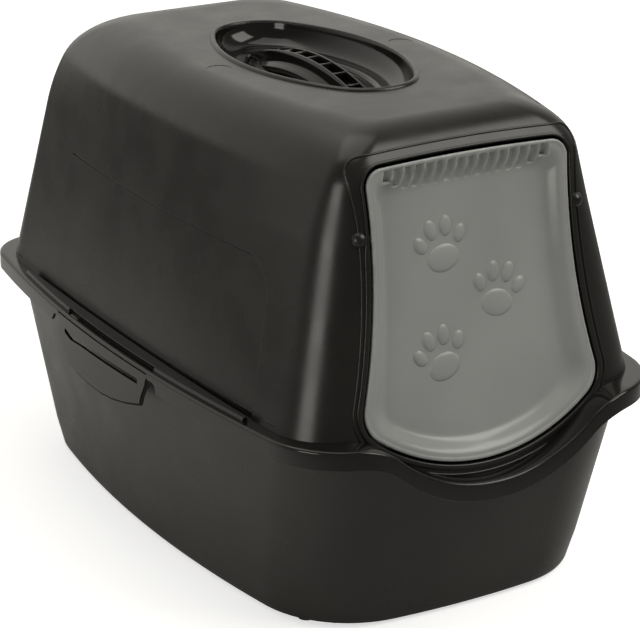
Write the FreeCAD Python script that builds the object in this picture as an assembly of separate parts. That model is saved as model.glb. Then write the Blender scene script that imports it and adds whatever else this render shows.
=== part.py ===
import FreeCAD, Part
import math
import os
from FreeCAD import Vector as V

# Hooded litter box for cats: open tray, clip-on rim frame, domed hood with a swinging door flap,
# a recessed carrying handle on top and a spring latch on each long side.
# Millimetres. +Z up, the door faces -Y, the origin is on the floor under the middle of the rim.

# ---- overall size ----
LENGTH = 560.0            # rim, front to back
WIDTH = 352.0             # rim, at the widest point of its bowed long sides
HEIGHT = 374.0            # flat top panel of the hood
RIM_Z = 164.0             # top face of the rim frame

# ---- rim frame ----
RIM_BOW, RIM_END_BOW = 21.0, 2.0      # how far the long and the short sides bow out
RIM_R_FRONT, RIM_R_BACK = 60.0, 46.0
FLANGE_T = 3.0
SKIRT_H, SKIRT_T = 14.3, 2.5
RIM_EDGE_R = 2.2                      # rounding of the outer top edge
RAIL_H, RAIL_SET = 3.5, 4.0           # raised rail along each long side
RAIL_END_FRONT, RAIL_END_BACK = 93.0, 98.0      # rim's ends to the rail's ends
RAIL_FRONT, RAIL_BACK = -LENGTH / 2 + RAIL_END_FRONT, LENGTH / 2 - RAIL_END_BACK
KERB_H, KERB_T, KERB_GAP = 5.0, 2.2, 1.2
HOOD_GAP = 0.6                        # rail to hood wall

# ---- the dip of the rim below the door ----
DIP_DEPTH = 45.0
DIP_HALF = WIDTH / 2 - 58.0           # where the dip starts, from the middle plane
DIP_SHOULDER_R = 53.0
DIP_R = (DIP_HALF ** 2 + DIP_DEPTH ** 2) / (2 * DIP_DEPTH) - DIP_SHOULDER_R

# ---- tray ----
TRAY_T = 3.0
TRAY_GAP = 9.0                        # rim edge to tray wall
TRAY_TOP_GAP = 0.3                    # tray lip to the underside of the flange
FOOT_R, FOOT_H, PEG_R, PEG_H = 6.5, 3.0, 2.5, 1.6
TRAY_FLOOR_Z = FOOT_H
CREASE_Z = 28.0                       # the wall is tucked in below this height
BASE_HALF_W, BASE_HALF_L = WIDTH / 2 - 31.4, LENGTH / 2 - 44.0
CREASE_HALF_W, CREASE_HALF_L = WIDTH / 2 - 24.0, LENGTH / 2 - 36.0
BASE_R, BASE_BOW, BASE_END_BOW = 69.0, 12.0, 11.0
CREASE_R, CREASE_BOW = 67.0, 13.0
TRAY_R_FRONT, TRAY_R_BACK, TRAY_END_BOW = 53.0, 41.0, 2.5
LIP_W, LIP_H = 3.2, 3.0
FOOT_RING = 60.0                      # distance of the feet from the centre of each base corner
FOOT_ANGLES = (38.0, 59.0)

# ---- hood ----
HOOD_T = 3.0
HOOD_HALF_W = WIDTH / 2 - 14.0        # all three at the rim
HOOD_FRONT, HOOD_BACK = -LENGTH / 2 + 22.4, LENGTH / 2 - 24.0
SIDE_LEAN, FRONT_LEAN, BACK_LEAN = 0.16, 0.151, 0.12
TOP_R_SIDE, TOP_R_FRONT, TOP_R_BACK = 33.0, 42.0, 75.0
HOOD_CORNER_R, HOOD_CORNER_SHRINK = 49.0, 16.0
HOOD_BOW, HOOD_TOP_BOW, HOOD_END_BOW = 9.5, 6.5, 0.6
PANEL_TOP_Z = HEIGHT - 98.0           # recessed panel on each long side
PANEL_R, PANEL_DEPTH, PANEL_TAPER = 34.0, 1.2, 9.0

# ---- door ----
PIVOT_Z = HEIGHT - 71.0
PIVOT_DEPTH = 5.0                     # axis behind the front face of the flap
PIN_R, PIN_CLEAR, PIN_GRIP = 2.6, 0.06, 5.5
COLLAR_R, COLLAR_T = 3.8, 0.9
BOSS_L, BOSS_W, BOSS_H = 9.0, 9.0, 11.0
DOME_R, DOME_X = 6.4, 6.0             # small dome over the end of each pin, beside the doorway
SILL = 8.5                            # flap to the lowest point of the rim
FLAP_TOP = 49.6
FLAP_BOTTOM = -(PIVOT_Z - RIM_Z + DIP_DEPTH - SILL)
FLAP_WAIST = HOOD_HALF_W - 78.2       # half width at the pivots
FLAP_SIDE_R, FLAP_TOP_R = 498.0, 1480.0
FLAP_BOTTOM_R = 1.2 * DIP_R           # flatter than the dip of the rim
FLAP_R_TOP, FLAP_R_BOTTOM = 13.0, 24.0
WAIST_UP = 2.0                        # the narrowest point lies this far above the pivots
FLAP_DEPTH, FLAP_T, FLAP_EDGE = 8.0, 2.2, 2.4
MARGIN_TOP, MARGIN_BOTTOM, MARGIN_SIDE = 24.3, 19.2, 17.3
DOOR_GAP = 2.0
FLUTES, FLUTE_R, FLUTE_SINK = 16, 5.4, 1.2
FLUTE_END = 9.0                       # flap's side to the first flute, at the pivots
RIDGE_W, RIDGE_H = 2.4, 1.5           # raised edge of the doorway
FRAME_GROW, FRAME_TOP, FRAME_FLARE_R = 8.0, 9.0, 190.0
FRAME_W = 1.8

# ---- handle recess ----
DISH_Y = -11.0                        # centre of the recess
DISH_A, DISH_B, DISH_END_R = 60.0, 113.0, 39.0
DISH_LIP, DISH_LIP_H = 4.0, 2.0
MARK_R, MARK_DEPTH, MARK_X = 10.0, 0.4, DISH_A + 21.0
INSERT_GAP, INSERT_T = 0.3, 2.6
INSERT_DROP = 2.0                     # top edge of the insert below the flat top
SADDLE_DROP = 17.0                    # the level face round the finger pocket, below the flat top
BOWL_R = 13.0                         # the upright wall sweeps into the saddle
POCKET_A, POCKET_B, POCKET_END_R = 36.0, 81.0, 16.0
POCKET_DEPTH, POCKET_ROUND, POCKET_FOOT_R = 29.0, 5.0, 14.0
BED_W, BED_T = 6.0, 2.0               # flange of the insert under the hood
BAR_DROP = 0.6                        # crown of the bar below the flat top
BAR_R = 234.0                         # radius of the bar's arch
BAR_HALF_W, BAR_H = 15.0, 16.5
FLANK_W, FLANK_DROP = 9.8, 9.0        # foot of the steep flank; a shoulder spreads below it
SHOULDER_DROP, BAR_BASE_W = 12.5, 14.0
CHANNEL_HALF, CHANNEL_DEPTH, CHANNEL_LAND = 5.6, 7.0, 1.8
BAR_RIBS, BAR_RIB_T, BAR_RIB_DROP = 7, 1.6, 0.8

# ---- latches ----
LATCH_Y, LATCH_HALF = 14.0, 78.0
LATCH_TOP_GAP = 0.8
LATCH_DROP_END, LATCH_DROP_MID = 29.0, 45.5
BEAD_R, BEAD_CLEAR = 1.2, 0.06        # round top edge of the latch, seated under the flange
BEAD_SET = 2.65                       # its centre line, in from the widest point of the rim
SLOT_W, SLOT_R = 14.0, 4.0
ARM_W = 14.5
WINDOW_H = 9.0
CATCH_DROP, CATCH_H, CATCH_GAP = 2.0, 5.6, 1.0

# ---- derived ----
FLANGE_Z = RIM_Z - FLANGE_T           # underside of the flange
LOW_Z = RIM_Z - DIP_DEPTH - 30.0      # below everything that follows the rim
SADDLE_Z = HEIGHT - SADDLE_DROP

os.makedirs("parts", exist_ok=True)


def save(name, shape):
    """Write one piece, cleaned to a single solid where it is one."""
    shape = shape.removeSplitter()
    if shape.ShapeType == "Compound" and len(shape.Solids) == 1:
        shape = shape.Solids[0]
    shape.exportStep("parts/%s.step" % name)
    b = shape.optimalBoundingBox(False)
    print("%-16s solids %d faces %3d volume %9.0f  z %.1f..%.1f valid %s" % (
        name, len(shape.Solids), len(shape.Faces), shape.Volume, b.ZMin, b.ZMax, shape.isValid()))


# ---------------------------------------------------------------- plane geometry
def tangent_circle(c1, r1, s1, c2, r2, s2, r, toward):
    """Centre of the circle of radius r touching two circles; s is -1 inside, +1 outside each."""
    d1, d2 = r1 + s1 * r, r2 + s2 * r
    dx, dy = c2[0] - c1[0], c2[1] - c1[1]
    d = math.hypot(dx, dy)
    a = (d1 * d1 - d2 * d2 + d * d) / (2 * d)
    h = math.sqrt(max(d1 * d1 - a * a, 0.0))
    mx, my = c1[0] + a * dx / d, c1[1] + a * dy / d
    both = [(mx - h * dy / d, my + h * dx / d), (mx + h * dy / d, my - h * dx / d)]
    return min(both, key=lambda p: math.hypot(p[0] - toward[0], p[1] - toward[1]))


def along(c, p, dist):
    """Point at a distance from c in the direction of p."""
    n = math.hypot(p[0] - c[0], p[1] - c[1])
    return (c[0] + (p[0] - c[0]) * dist / n, c[1] + (p[1] - c[1]) * dist / n)


def on_arc(c, p, q, r):
    """Middle point of the short arc about c from p to q."""
    return along(c, ((p[0] + q[0]) / 2, (p[1] + q[1]) / 2), r)


def mirrored(p):
    return (-p[0], p[1])


def arc_wire(arcs, place):
    """Closed wire from arcs given as three plane points each."""
    return Part.Wire([Part.Arc(*[place(p) for p in a]).toShape() for a in arcs])


def bowed_ring(half_w, front, back, bow, bow_end, r_front, r_back):
    """Corner arcs of a bowed rounded rectangle, right half: front corner, then back corner."""
    mid, half_l = (front + back) / 2, (back - front) / 2
    rs = (half_l ** 2 + bow ** 2) / (2 * bow)
    re = ((half_w - bow) ** 2 + bow_end ** 2) / (2 * bow_end)
    cs = (half_w - rs, mid)
    corners = []
    for end, r, ce in ((front, r_front, (0.0, front + re)), (back, r_back, (0.0, back - re))):
        cc = tangent_circle(cs, rs, -1, ce, re, -1, r, (half_w - r, ce[1] + end))
        t1, t2 = along(cs, cc, rs), along(ce, cc, re)
        corners.append((t1, on_arc(cc, t1, t2, r), t2))
    return corners[0], (half_w, mid), corners[1]


def outline(z, half_w, front, back, bow, bow_end, r_front, r_back):
    """Closed wire of a bowed rounded rectangle at height z: eight arcs, all touching smoothly."""
    f, side, b = bowed_ring(half_w, front, back, bow, bow_end, r_front, r_back)
    m = mirrored
    arcs = [(f[0], side, b[0]), b, (b[2], (0.0, back), m(b[2])), (m(b[2]), m(b[1]), m(b[0])),
            (m(b[0]), m(side), m(f[0])), (m(f[0]), m(f[1]), m(f[2])), (m(f[2]), (0.0, front), f[2]),
            (f[2], f[1], f[0])]
    return arc_wire(arcs, lambda p: V(p[0], p[1], z))


def oval(z, a, b, end_r, grow=0.0):
    """Closed wire of a four-arc oval round the centre of the handle recess."""
    side_r = (a * a + b * b - 2 * b * end_r) / (2 * (a - end_r)) + grow
    a, b, end_r = a + grow, b + grow, end_r + grow
    t = along((a - side_r, 0.0), (0.0, b - end_r), side_r)
    arcs = [((t[0], -t[1]), (a, 0.0), t), (t, (0.0, b), mirrored(t)),
            (mirrored(t), (-a, 0.0), (-t[0], -t[1])), ((-t[0], -t[1]), (0.0, -b), (t[0], -t[1]))]
    return arc_wire(arcs, lambda p: V(p[0], DISH_Y + p[1], z))


# ---------------------------------------------------------------- solids from wires
def prism(wire, z0, z1):
    """Upright solid over a closed level wire."""
    face = Part.Face(wire)
    face.translate(V(0, 0, z0 - wire.Vertexes[0].Z))
    return face.extrude(V(0, 0, z1 - z0))


def loft(wires, ruled=True):
    return Part.makeLoft(wires, True, ruled)


def slab(y0, y1, z0, z1):
    """Box right across the object."""
    return Part.makeBox(2 * WIDTH, y1 - y0, z1 - z0, V(-WIDTH, y0, z0))


def rim_outline(z, inset):
    """Outer line of the rim, moved in by an inset."""
    return outline(z, WIDTH / 2 - inset, -LENGTH / 2 + inset, LENGTH / 2 - inset, RIM_BOW,
                   RIM_END_BOW, RIM_R_FRONT - inset, RIM_R_BACK - inset)


def dip_turn():
    """Point where the low middle of the dip turns into its shoulder, above the lowest point."""
    return along((0.0, DIP_R), (DIP_HALF, DIP_DEPTH - DIP_SHOULDER_R), DIP_R)


def dip_wire(z, far):
    """Profile across the box: level, down into the dip, level again, closed at the height far."""
    rs, low = DIP_SHOULDER_R, z - DIP_DEPTH
    t = dip_turn()
    k = on_arc((DIP_HALF, DIP_DEPTH - rs), t, (DIP_HALF, DIP_DEPTH), rs)

    def p(x, h):
        return V(x, -LENGTH, low + h)

    def arc(*q):
        return Part.Arc(*q).toShape()
    level = DIP_DEPTH
    edges = [Part.makeLine(p(-WIDTH, far - low), p(-WIDTH, level)),
             Part.makeLine(p(-WIDTH, level), p(-DIP_HALF, level)),
             arc(p(-DIP_HALF, level), p(-k[0], k[1]), p(-t[0], t[1])),
             arc(p(-t[0], t[1]), p(0, 0), p(t[0], t[1])),
             arc(p(t[0], t[1]), p(k[0], k[1]), p(DIP_HALF, level)),
             Part.makeLine(p(DIP_HALF, level), p(WIDTH, level)),
             Part.makeLine(p(WIDTH, level), p(WIDTH, far - low)),
             Part.makeLine(p(WIDTH, far - low), p(-WIDTH, far - low))]
    return Part.Wire(edges)


def region(z, far):
    """Everything between the rim surface moved to level z, dipped in front, and the height far."""
    front = Part.Face(dip_wire(z, far)).extrude(V(0, LENGTH, 0))
    return front.fuse(slab(0, LENGTH, min(z, far), max(z, far)))


def band(z0, z1):
    """Layer that follows the rim surface."""
    return region(z1, LOW_Z - 20).cut(region(z0, LOW_Z - 20))


# ---------------------------------------------------------------- tray
def tray_outline(z, inset):
    """Wall of the tray: leaning out above the crease, tucked in below it."""
    if z <= CREASE_Z:
        k = (z - TRAY_FLOOR_Z) / (CREASE_Z - TRAY_FLOOR_Z)
        low = (BASE_HALF_W, BASE_HALF_L, BASE_BOW, BASE_END_BOW, BASE_R, BASE_R)
        high = (CREASE_HALF_W, CREASE_HALF_L, CREASE_BOW, BASE_END_BOW, CREASE_R, CREASE_R)
    else:
        k = (z - CREASE_Z) / (RIM_Z - CREASE_Z)
        low = (CREASE_HALF_W, CREASE_HALF_L, CREASE_BOW, BASE_END_BOW, CREASE_R, CREASE_R)
        high = (WIDTH / 2 - TRAY_GAP, LENGTH / 2 - TRAY_GAP, RIM_BOW, TRAY_END_BOW,
                TRAY_R_FRONT, TRAY_R_BACK)
    w, half, bow, end, rf, rb = [a + k * (b - a) for a, b in zip(low, high)]
    return outline(z, w - inset, -half + inset, half - inset, bow, end, rf - inset, rb - inset)


def tray_wall(inset, z0, z1):
    below = loft([tray_outline(z0, inset), tray_outline(CREASE_Z, inset)])
    return below.fuse(loft([tray_outline(CREASE_Z, inset), tray_outline(z1, inset)]))


def foot_points():
    """Two feet near each corner of the base."""
    cx, cy = BASE_HALF_W - BASE_BOW - BASE_R, BASE_HALF_L - BASE_END_BOW - BASE_R
    pts = []
    for sx in (-1, 1):
        for sy in (-1, 1):
            for deg in FOOT_ANGLES:
                a = math.radians(deg)
                pts.append((sx * (cx + FOOT_RING * math.cos(a)), sy * (cy + FOOT_RING * math.sin(a))))
    return pts


def make_catch(top):
    """Bar on each long side of the tray, seen through the window of the latch."""
    z1 = top + TRAY_TOP_GAP - CATCH_DROP
    half = LATCH_HALF - ARM_W - 2.0
    bar = prism(rim_outline(0, SKIRT_T + CATCH_GAP), z1 - CATCH_H, z1)
    bar = bar.cut(prism(tray_outline(z1 - CATCH_H, TRAY_T / 2), z1 - CATCH_H - 1, z1 + 1))
    return bar.common(slab(LATCH_Y - half, LATCH_Y + half, z1 - CATCH_H - 5, z1 + 5))


def make_tray():
    top = FLANGE_Z - TRAY_TOP_GAP
    lip = prism(tray_outline(RIM_Z, -LIP_W), LOW_Z, top).common(band(top - LIP_H, top))
    body = tray_wall(0.0, TRAY_FLOOR_Z, top).common(region(top, -FOOT_H)).fuse([lip, make_catch(top)])
    floor_in = tray_outline(TRAY_FLOOR_Z + TRAY_T, TRAY_T)
    hollow = loft([floor_in, tray_outline(CREASE_Z, TRAY_T)])
    hollow = hollow.fuse(loft([tray_outline(CREASE_Z, TRAY_T), tray_outline(RIM_Z + 20, TRAY_T)]))
    pegs = [Part.makeCylinder(PEG_R, PEG_H, V(x, y, TRAY_FLOOR_Z)) for x, y in foot_points()]
    return body.cut([hollow] + pegs)


def make_foot(x, y):
    pad = Part.makeCylinder(FOOT_R, FOOT_H, V(x, y, 0))
    return pad.fuse(Part.makeCylinder(PEG_R, PEG_H, V(x, y, FOOT_H)))


# ---------------------------------------------------------------- hood
def wall_and_cap(z, top, r, wall, lean):
    """Distance out of a leaning wall at height z, rounded into the flat top."""
    a = math.atan(lean)
    zt = top - r + r * math.sin(a)
    if z <= zt:
        return wall - lean * (z - RIM_Z)
    c = wall - lean * (zt - RIM_Z) - r * math.cos(a)
    return c + math.sqrt(max(r * r - (z - top + r) ** 2, 0.0))


def hood_outline(z, inset):
    top = HEIGHT - inset
    w = wall_and_cap(z, top, TOP_R_SIDE - inset, HOOD_HALF_W - inset, SIDE_LEAN)
    f = wall_and_cap(z, top, TOP_R_FRONT - inset, -HOOD_FRONT - inset, FRONT_LEAN)
    b = wall_and_cap(z, top, TOP_R_BACK - inset, HOOD_BACK - inset, BACK_LEAN)
    k = max((z - RIM_Z) / (HEIGHT - RIM_Z), 0.0)
    r = HOOD_CORNER_R - inset - HOOD_CORNER_SHRINK * k ** 1.5
    bow = HOOD_BOW + k * (HOOD_TOP_BOW - HOOD_BOW)
    return outline(z, w, -f, b, bow, HOOD_END_BOW, r, r + 2.0)


def hood_solid(inset, z0):
    """Solid bounded by the hood's surface, moved in by an inset: leaning walls and rounded cap."""
    top = HEIGHT - inset
    zt = top - (TOP_R_BACK - inset) * (1 - math.sin(math.atan(BACK_LEAN)))
    n = 9
    levels = [zt + (top - zt) * math.sin(math.pi / 2 * i / n) for i in range(n + 1)]
    cap = loft([hood_outline(z, inset) for z in levels])
    return loft([hood_outline(z0, inset), hood_outline(zt, inset)]).fuse(cap)


def panel_prism():
    """Outline of the recessed side panel, taken right across the hood."""
    y0, y1, zt, r, z0 = RAIL_FRONT, RAIL_BACK, PANEL_TOP_Z, PANEL_R, RIM_Z - 20
    s = r * (1 - math.sqrt(0.5))
    f, b = y0 + PANEL_TAPER, y1 - PANEL_TAPER

    def p(y, z):
        return V(-WIDTH, y, z)
    edges = [Part.makeLine(p(y0, z0), p(f, zt - r)),
             Part.Arc(p(f, zt - r), p(f + s, zt - s), p(f + r, zt)).toShape(),
             Part.makeLine(p(f + r, zt), p(b - r, zt)),
             Part.Arc(p(b - r, zt), p(b - s, zt - s), p(b, zt - r)).toShape(),
             Part.makeLine(p(b, zt - r), p(y1, z0)), Part.makeLine(p(y1, z0), p(y0, z0))]
    return Part.Face(Part.Wire(edges)).extrude(V(2 * WIDTH, 0, 0))


# ---------------------------------------------------------------- door outline
def door_place(shape):
    """Lean an upright door shape back with the front wall and bring it to the pivot axis."""
    s = shape.copy()
    s.rotate(V(0, 0, 0), V(1, 0, 0), -math.degrees(math.atan(FRONT_LEAN)))
    s.translate(V(0, HOOD_FRONT + FRONT_LEAN * (PIVOT_Z - RIM_Z) + PIVOT_DEPTH, PIVOT_Z))
    return s


def door_wire(y, top, bottom, waist, radii, grow=0.0):
    """Door outline standing upright at depth y: nearly level top, waisted sides, round bottom.

    radii: side above the waist, side below it, top, bottom, top corner, bottom corner."""
    top, bottom, waist = top + grow, bottom - grow, waist + grow
    up_r, down_r = radii[0] - grow, radii[1] - grow
    top_r, low_r, rt, rb = [r + grow for r in radii[2:]]
    cu, cd = (waist + up_r, WAIST_UP), (waist + down_r, WAIST_UP)
    ct, cb = (0.0, top - top_r), (0.0, bottom + low_r)
    a = tangent_circle(cu, up_r, 1, ct, top_r, -1, rt, (waist, top))
    b = tangent_circle(cd, down_r, 1, cb, low_r, -1, rb, (waist, bottom + low_r / 2))
    a1, a2, w = along(ct, a, top_r), along(cu, a, up_r), (waist, WAIST_UP)
    b1, b2 = along(cd, b, down_r), along(cb, b, low_r)
    right = [(a1, on_arc(a, a1, a2, rt), a2), (a2, on_arc(cu, a2, w, up_r), w),
             (w, on_arc(cd, w, b1, down_r), b1), (b1, on_arc(b, b1, b2, rb), b2)]
    left = [tuple(mirrored(q) for q in reversed(arc)) for arc in reversed(right)]
    ends = [(b2, (0.0, bottom), mirrored(b2)), (mirrored(a1), (0.0, top), a1)]
    return arc_wire(right + ends[:1] + left + ends[1:], lambda q: V(q[0], y, q[1]))


def flap_wire(y, grow=0.0):
    radii = (FLAP_SIDE_R, FLAP_SIDE_R, FLAP_TOP_R, FLAP_BOTTOM_R, FLAP_R_TOP, FLAP_R_BOTTOM)
    return door_wire(y, FLAP_TOP, FLAP_BOTTOM, FLAP_WAIST, radii, grow)


def flap_panel_wire(y, grow=0.0):
    """Outline of the flap's flat panel, inside the sloping margin."""
    radii = (2 * FLAP_SIDE_R, 2 * FLAP_SIDE_R, FLAP_TOP_R, FLAP_BOTTOM_R - MARGIN_BOTTOM,
             FLAP_R_TOP - 4.0, FLAP_R_BOTTOM - 4.0)
    return door_wire(y, FLAP_TOP - MARGIN_TOP, FLAP_BOTTOM + MARGIN_BOTTOM, FLAP_WAIST - MARGIN_SIDE,
                     radii, grow)


def frame_wire(y, grow=0.0):
    """Outer ridge round the doorway: flared above the pivots."""
    radii = (FRAME_FLARE_R, FLAP_SIDE_R, FLAP_TOP_R, FLAP_BOTTOM_R + FRAME_GROW, FLAP_R_TOP,
             FLAP_R_BOTTOM + FRAME_GROW)
    return door_wire(y, FLAP_TOP + FRAME_TOP, FLAP_BOTTOM - SILL, FLAP_WAIST + FRAME_GROW, radii, grow)


def through_front(wire):
    """Solid of a door outline, taken through the front wall."""
    face = Part.Face(wire)
    face.translate(V(0, -60 - wire.Vertexes[0].Y, 0))
    return door_place(face.extrude(V(0, 100, 0)))


def make_ridges():
    """Two raised ridges on the hood's skin: the edge of the doorway and the frame round it."""
    proud = hood_solid(-RIDGE_H, LOW_Z)
    inner = through_front(flap_wire(0, DOOR_GAP + RIDGE_W))
    outer = through_front(frame_wire(0, FRAME_W)).cut(through_front(frame_wire(0)))
    return [inner.common(proud), outer.common(hood_solid(-RIDGE_H * 0.6, LOW_Z))]


def make_hood():
    outer = hood_solid(0.0, LOW_Z)
    lip = prism(oval(0, DISH_A, DISH_B, DISH_END_R, DISH_LIP), HEIGHT - HOOD_T, HEIGHT + DISH_LIP_H)
    body = outer.fuse(make_ridges() + [lip])
    cuts = [panel_prism().cut(hood_solid(PANEL_DEPTH, LOW_Z - 1)), hood_solid(HOOD_T, LOW_Z - 1),
            through_front(flap_wire(0, DOOR_GAP)),
            prism(oval(0, DISH_A, DISH_B, DISH_END_R), HEIGHT - 20, HEIGHT + 5)]
    cuts += [Part.makeCylinder(MARK_R, 5.0, V(s * MARK_X, DISH_Y, HEIGHT - MARK_DEPTH)) for s in (-1, 1)]
    body = body.cut(cuts).common(region(RIM_Z, HEIGHT + 50))
    # bosses beside the door that hold the pivot pins
    x = FLAP_WAIST + DOOR_GAP
    for s in (-1, 1):
        boss = Part.makeBox(BOSS_L, BOSS_W, BOSS_H,
                            V(x if s > 0 else -x - BOSS_L, 1.0 - PIVOT_DEPTH, -BOSS_H / 2))
        dome = Part.makeSphere(DOME_R, V(s * (x + DOME_X), 0, 0))
        dome = dome.common(Part.makeBox(4 * DOME_R, 2 * DOME_R, 4 * DOME_R,
                                        V(s * (x + DOME_X) - 2 * DOME_R, -2 * DOME_R, -2 * DOME_R)))
        hole = Part.makeCylinder(PIN_R, BOSS_L - 1.0, V(s * (x - 1), 0, 0), V(s, 0, 0))
        body = body.fuse([door_place(boss), door_place(dome)]).cut(door_place(hole))
    return body


def make_pin(s):
    """Pivot pin: fixed in the boss of the hood, its end turns in the socket of the flap."""
    x, grip = FLAP_WAIST + DOOR_GAP, BOSS_L - 2.0
    stem = Part.makeCylinder(PIN_R, grip + DOOR_GAP + PIN_GRIP, V(s * (x + grip), 0, 0), V(-s, 0, 0))
    collar = Part.makeCylinder(COLLAR_R, COLLAR_T, V(s * (x - COLLAR_T), 0, 0), V(s, 0, 0))
    return door_place(stem.fuse(collar))


# ---------------------------------------------------------------- door flap
def make_flutes():
    """Row of round-bottomed grooves down the sloping top margin."""
    run, top = MARGIN_TOP - FLAP_EDGE, FLAP_TOP - FLAP_EDGE
    slope = V(0, FLAP_DEPTH, -run).normalize()
    normal = V(0, -run, -FLAP_DEPTH).normalize()
    first = -FLAP_WAIST + FLUTE_END
    pitch = -2 * first / FLUTES
    grooves = []
    for i in range(FLUTES):
        start = V(first + pitch * (i + 0.5), -PIVOT_DEPTH, top)
        start = start + slope * 2.5 + normal * (FLUTE_R - FLUTE_SINK)
        grooves.append(Part.makeCylinder(FLUTE_R, run - 4.0, start, slope))
    return grooves


def make_flap():
    """Shallow dish: thin edge, sloping margin, flat panel set back by the dish's depth."""
    y = -PIVOT_DEPTH
    edge = Part.Face(flap_wire(y)).extrude(V(0, FLAP_EDGE, 0))
    back = loft([flap_wire(y + FLAP_EDGE), flap_panel_wire(y + FLAP_DEPTH + FLAP_T, FLAP_T / 2)])
    cavity = loft([flap_wire(y - 0.01, -FLAP_EDGE), flap_panel_wire(y + FLAP_DEPTH)])
    x, socket_r, socket_l = FLAP_WAIST - 0.6, PIN_R + 1.9, PIN_GRIP + 2.0
    sockets = [Part.makeCylinder(socket_r, socket_l, V(s * x, 0, 0), V(-s, 0, 0)).cut(cavity)
               for s in (-1, 1)]
    holes = [Part.makeCylinder(PIN_R + PIN_CLEAR, socket_l + 1.5, V(s * (x + 2.5), 0, 0), V(-s, 0, 0))
             for s in (-1, 1)]
    body = edge.fuse(back).cut(cavity).fuse(sockets).cut(holes + make_flutes())
    return door_place(body)


# ---------------------------------------------------------------- rim frame and latches
def skirt_ring():
    return prism(rim_outline(0, 0), LOW_Z - 20, FLANGE_Z + 1).cut(
        prism(rim_outline(0, SKIRT_T), LOW_Z - 21, FLANGE_Z + 2))


def arm_spans():
    """Front and back arm of a latch, along Y."""
    y0, y1 = LATCH_Y - LATCH_HALF, LATCH_Y + LATCH_HALF
    return ((y0, y0 + ARM_W), (y1 - ARM_W, y1))


def beads(s, r, extra):
    """Round bars along the arms of one latch, on its hinge axis."""
    return [Part.makeCylinder(r, b - a + 2 * extra, V(s * (WIDTH / 2 - BEAD_SET), a - extra, FLANGE_Z),
                              V(0, 1, 0)) for a, b in arm_spans()]


def latch_profile(top):
    """Crescent of the latch seen from the side: level top, short ends, rounded belly."""
    y0, y1 = LATCH_Y - LATCH_HALF, LATCH_Y + LATCH_HALF
    ze, zm = RIM_Z - LATCH_DROP_END, RIM_Z - LATCH_DROP_MID

    def p(y, z):
        return V(0, y, z)
    edges = [Part.makeLine(p(y0, top), p(y0, ze)), Part.Arc(p(y0, ze), p(LATCH_Y, zm), p(y1, ze)).toShape(),
             Part.makeLine(p(y1, ze), p(y1, top)), Part.makeLine(p(y1, top), p(y0, top))]
    return Part.Face(Part.Wire(edges))


def make_latch(s):
    top = FLANGE_Z - LATCH_TOP_GAP
    plate = skirt_ring().common(latch_profile(top).extrude(V(s * WIDTH, 0, 0)))
    half = LATCH_HALF - ARM_W
    window = slab(LATCH_Y - half, LATCH_Y + half, top - WINDOW_H, top + 1)
    return plate.cut(window).fuse(beads(s, BEAD_R, 0.0))


def latch_gap():
    """Cut-out of the skirt for both latches and the slots beside them, with rounded upper corners."""
    y0, y1 = LATCH_Y - LATCH_HALF - SLOT_W, LATCH_Y + LATCH_HALF + SLOT_W
    gap = slab(y0, y1, LOW_Z, FLANGE_Z)
    top = [e for e in gap.Edges if all(abs(v.Z - FLANGE_Z) < 0.01 for v in e.Vertexes)
           and abs(e.Vertexes[0].Y - e.Vertexes[1].Y) < 0.01]
    return gap.makeFillet(SLOT_R, top)


def rim_height(x, y):
    """Height of the rim's top face."""
    rs, ax = DIP_SHOULDER_R, abs(x)
    if y > 0 or ax >= DIP_HALF:
        return RIM_Z
    if ax <= dip_turn()[0]:
        return RIM_Z - DIP_DEPTH + DIP_R - math.sqrt(DIP_R ** 2 - ax * ax)
    return RIM_Z - rs + math.sqrt(rs * rs - (DIP_HALF - ax) ** 2)


def on_rim_edge(e, line):
    """True for the pieces of the outer top edge of the rim."""
    mid = e.valueAt((e.FirstParameter + e.LastParameter) / 2)
    for q in [mid] + [v.Point for v in e.Vertexes]:
        if abs(rim_height(q.x, q.y) - q.z) > 0.05:
            return False
        if line.distToShape(Part.Vertex(q.x, q.y, 0))[0] > 0.2:
            return False
    return e.Length > 1.0


def make_frame():
    """Flange with its skirt, rounded along the outer edge, then the kerb and the two rails."""
    line, inside = rim_outline(0, 0), HOOD_T + KERB_GAP
    hole = prism(hood_outline(RIM_Z, inside + KERB_T), LOW_Z - 21, RIM_Z + 31)
    body = prism(line, LOW_Z - 20, RIM_Z + 1).common(band(RIM_Z - SKIRT_H, RIM_Z))
    body = body.makeFillet(RIM_EDGE_R, [e for e in body.Edges if on_rim_edge(e, line)])
    under = prism(rim_outline(0, SKIRT_T), LOW_Z - 21, RIM_Z).common(region(FLANGE_Z, LOW_Z - 22))
    body = body.cut([under, hole, latch_gap()])
    kerb = prism(hood_outline(RIM_Z, inside), LOW_Z, RIM_Z + 30).cut(hole)
    rail = prism(rim_outline(0, RAIL_SET), RIM_Z - 0.5, RIM_Z + RAIL_H).cut(
        prism(hood_outline(RIM_Z, -HOOD_GAP), RIM_Z - 2, RIM_Z + 20))
    rail = rail.common(slab(RAIL_FRONT, RAIL_BACK, RIM_Z - 30, RIM_Z + 30))
    seats = beads(-1, BEAD_R + BEAD_CLEAR, 0.5) + beads(1, BEAD_R + BEAD_CLEAR, 0.5)
    return body.fuse([kerb.common(band(RIM_Z - 0.5, RIM_Z + KERB_H)), rail]).cut(seats)


# ---------------------------------------------------------------- handle
def along_arch(points, reach):
    """Section in the middle of the recess, swept both ways along the arch of the bar."""
    crown, points = HEIGHT - BAR_DROP, points + points[:1]
    centre, angle = V(0, DISH_Y, crown - BAR_R), math.degrees(math.asin(reach / BAR_R))
    face = Part.Face(Part.makePolygon([V(x, DISH_Y, crown + z) for x, z in points]))
    face.rotate(centre, V(1, 0, 0), -angle)
    return face.revolve(centre, V(1, 0, 0), 2 * angle)


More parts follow.
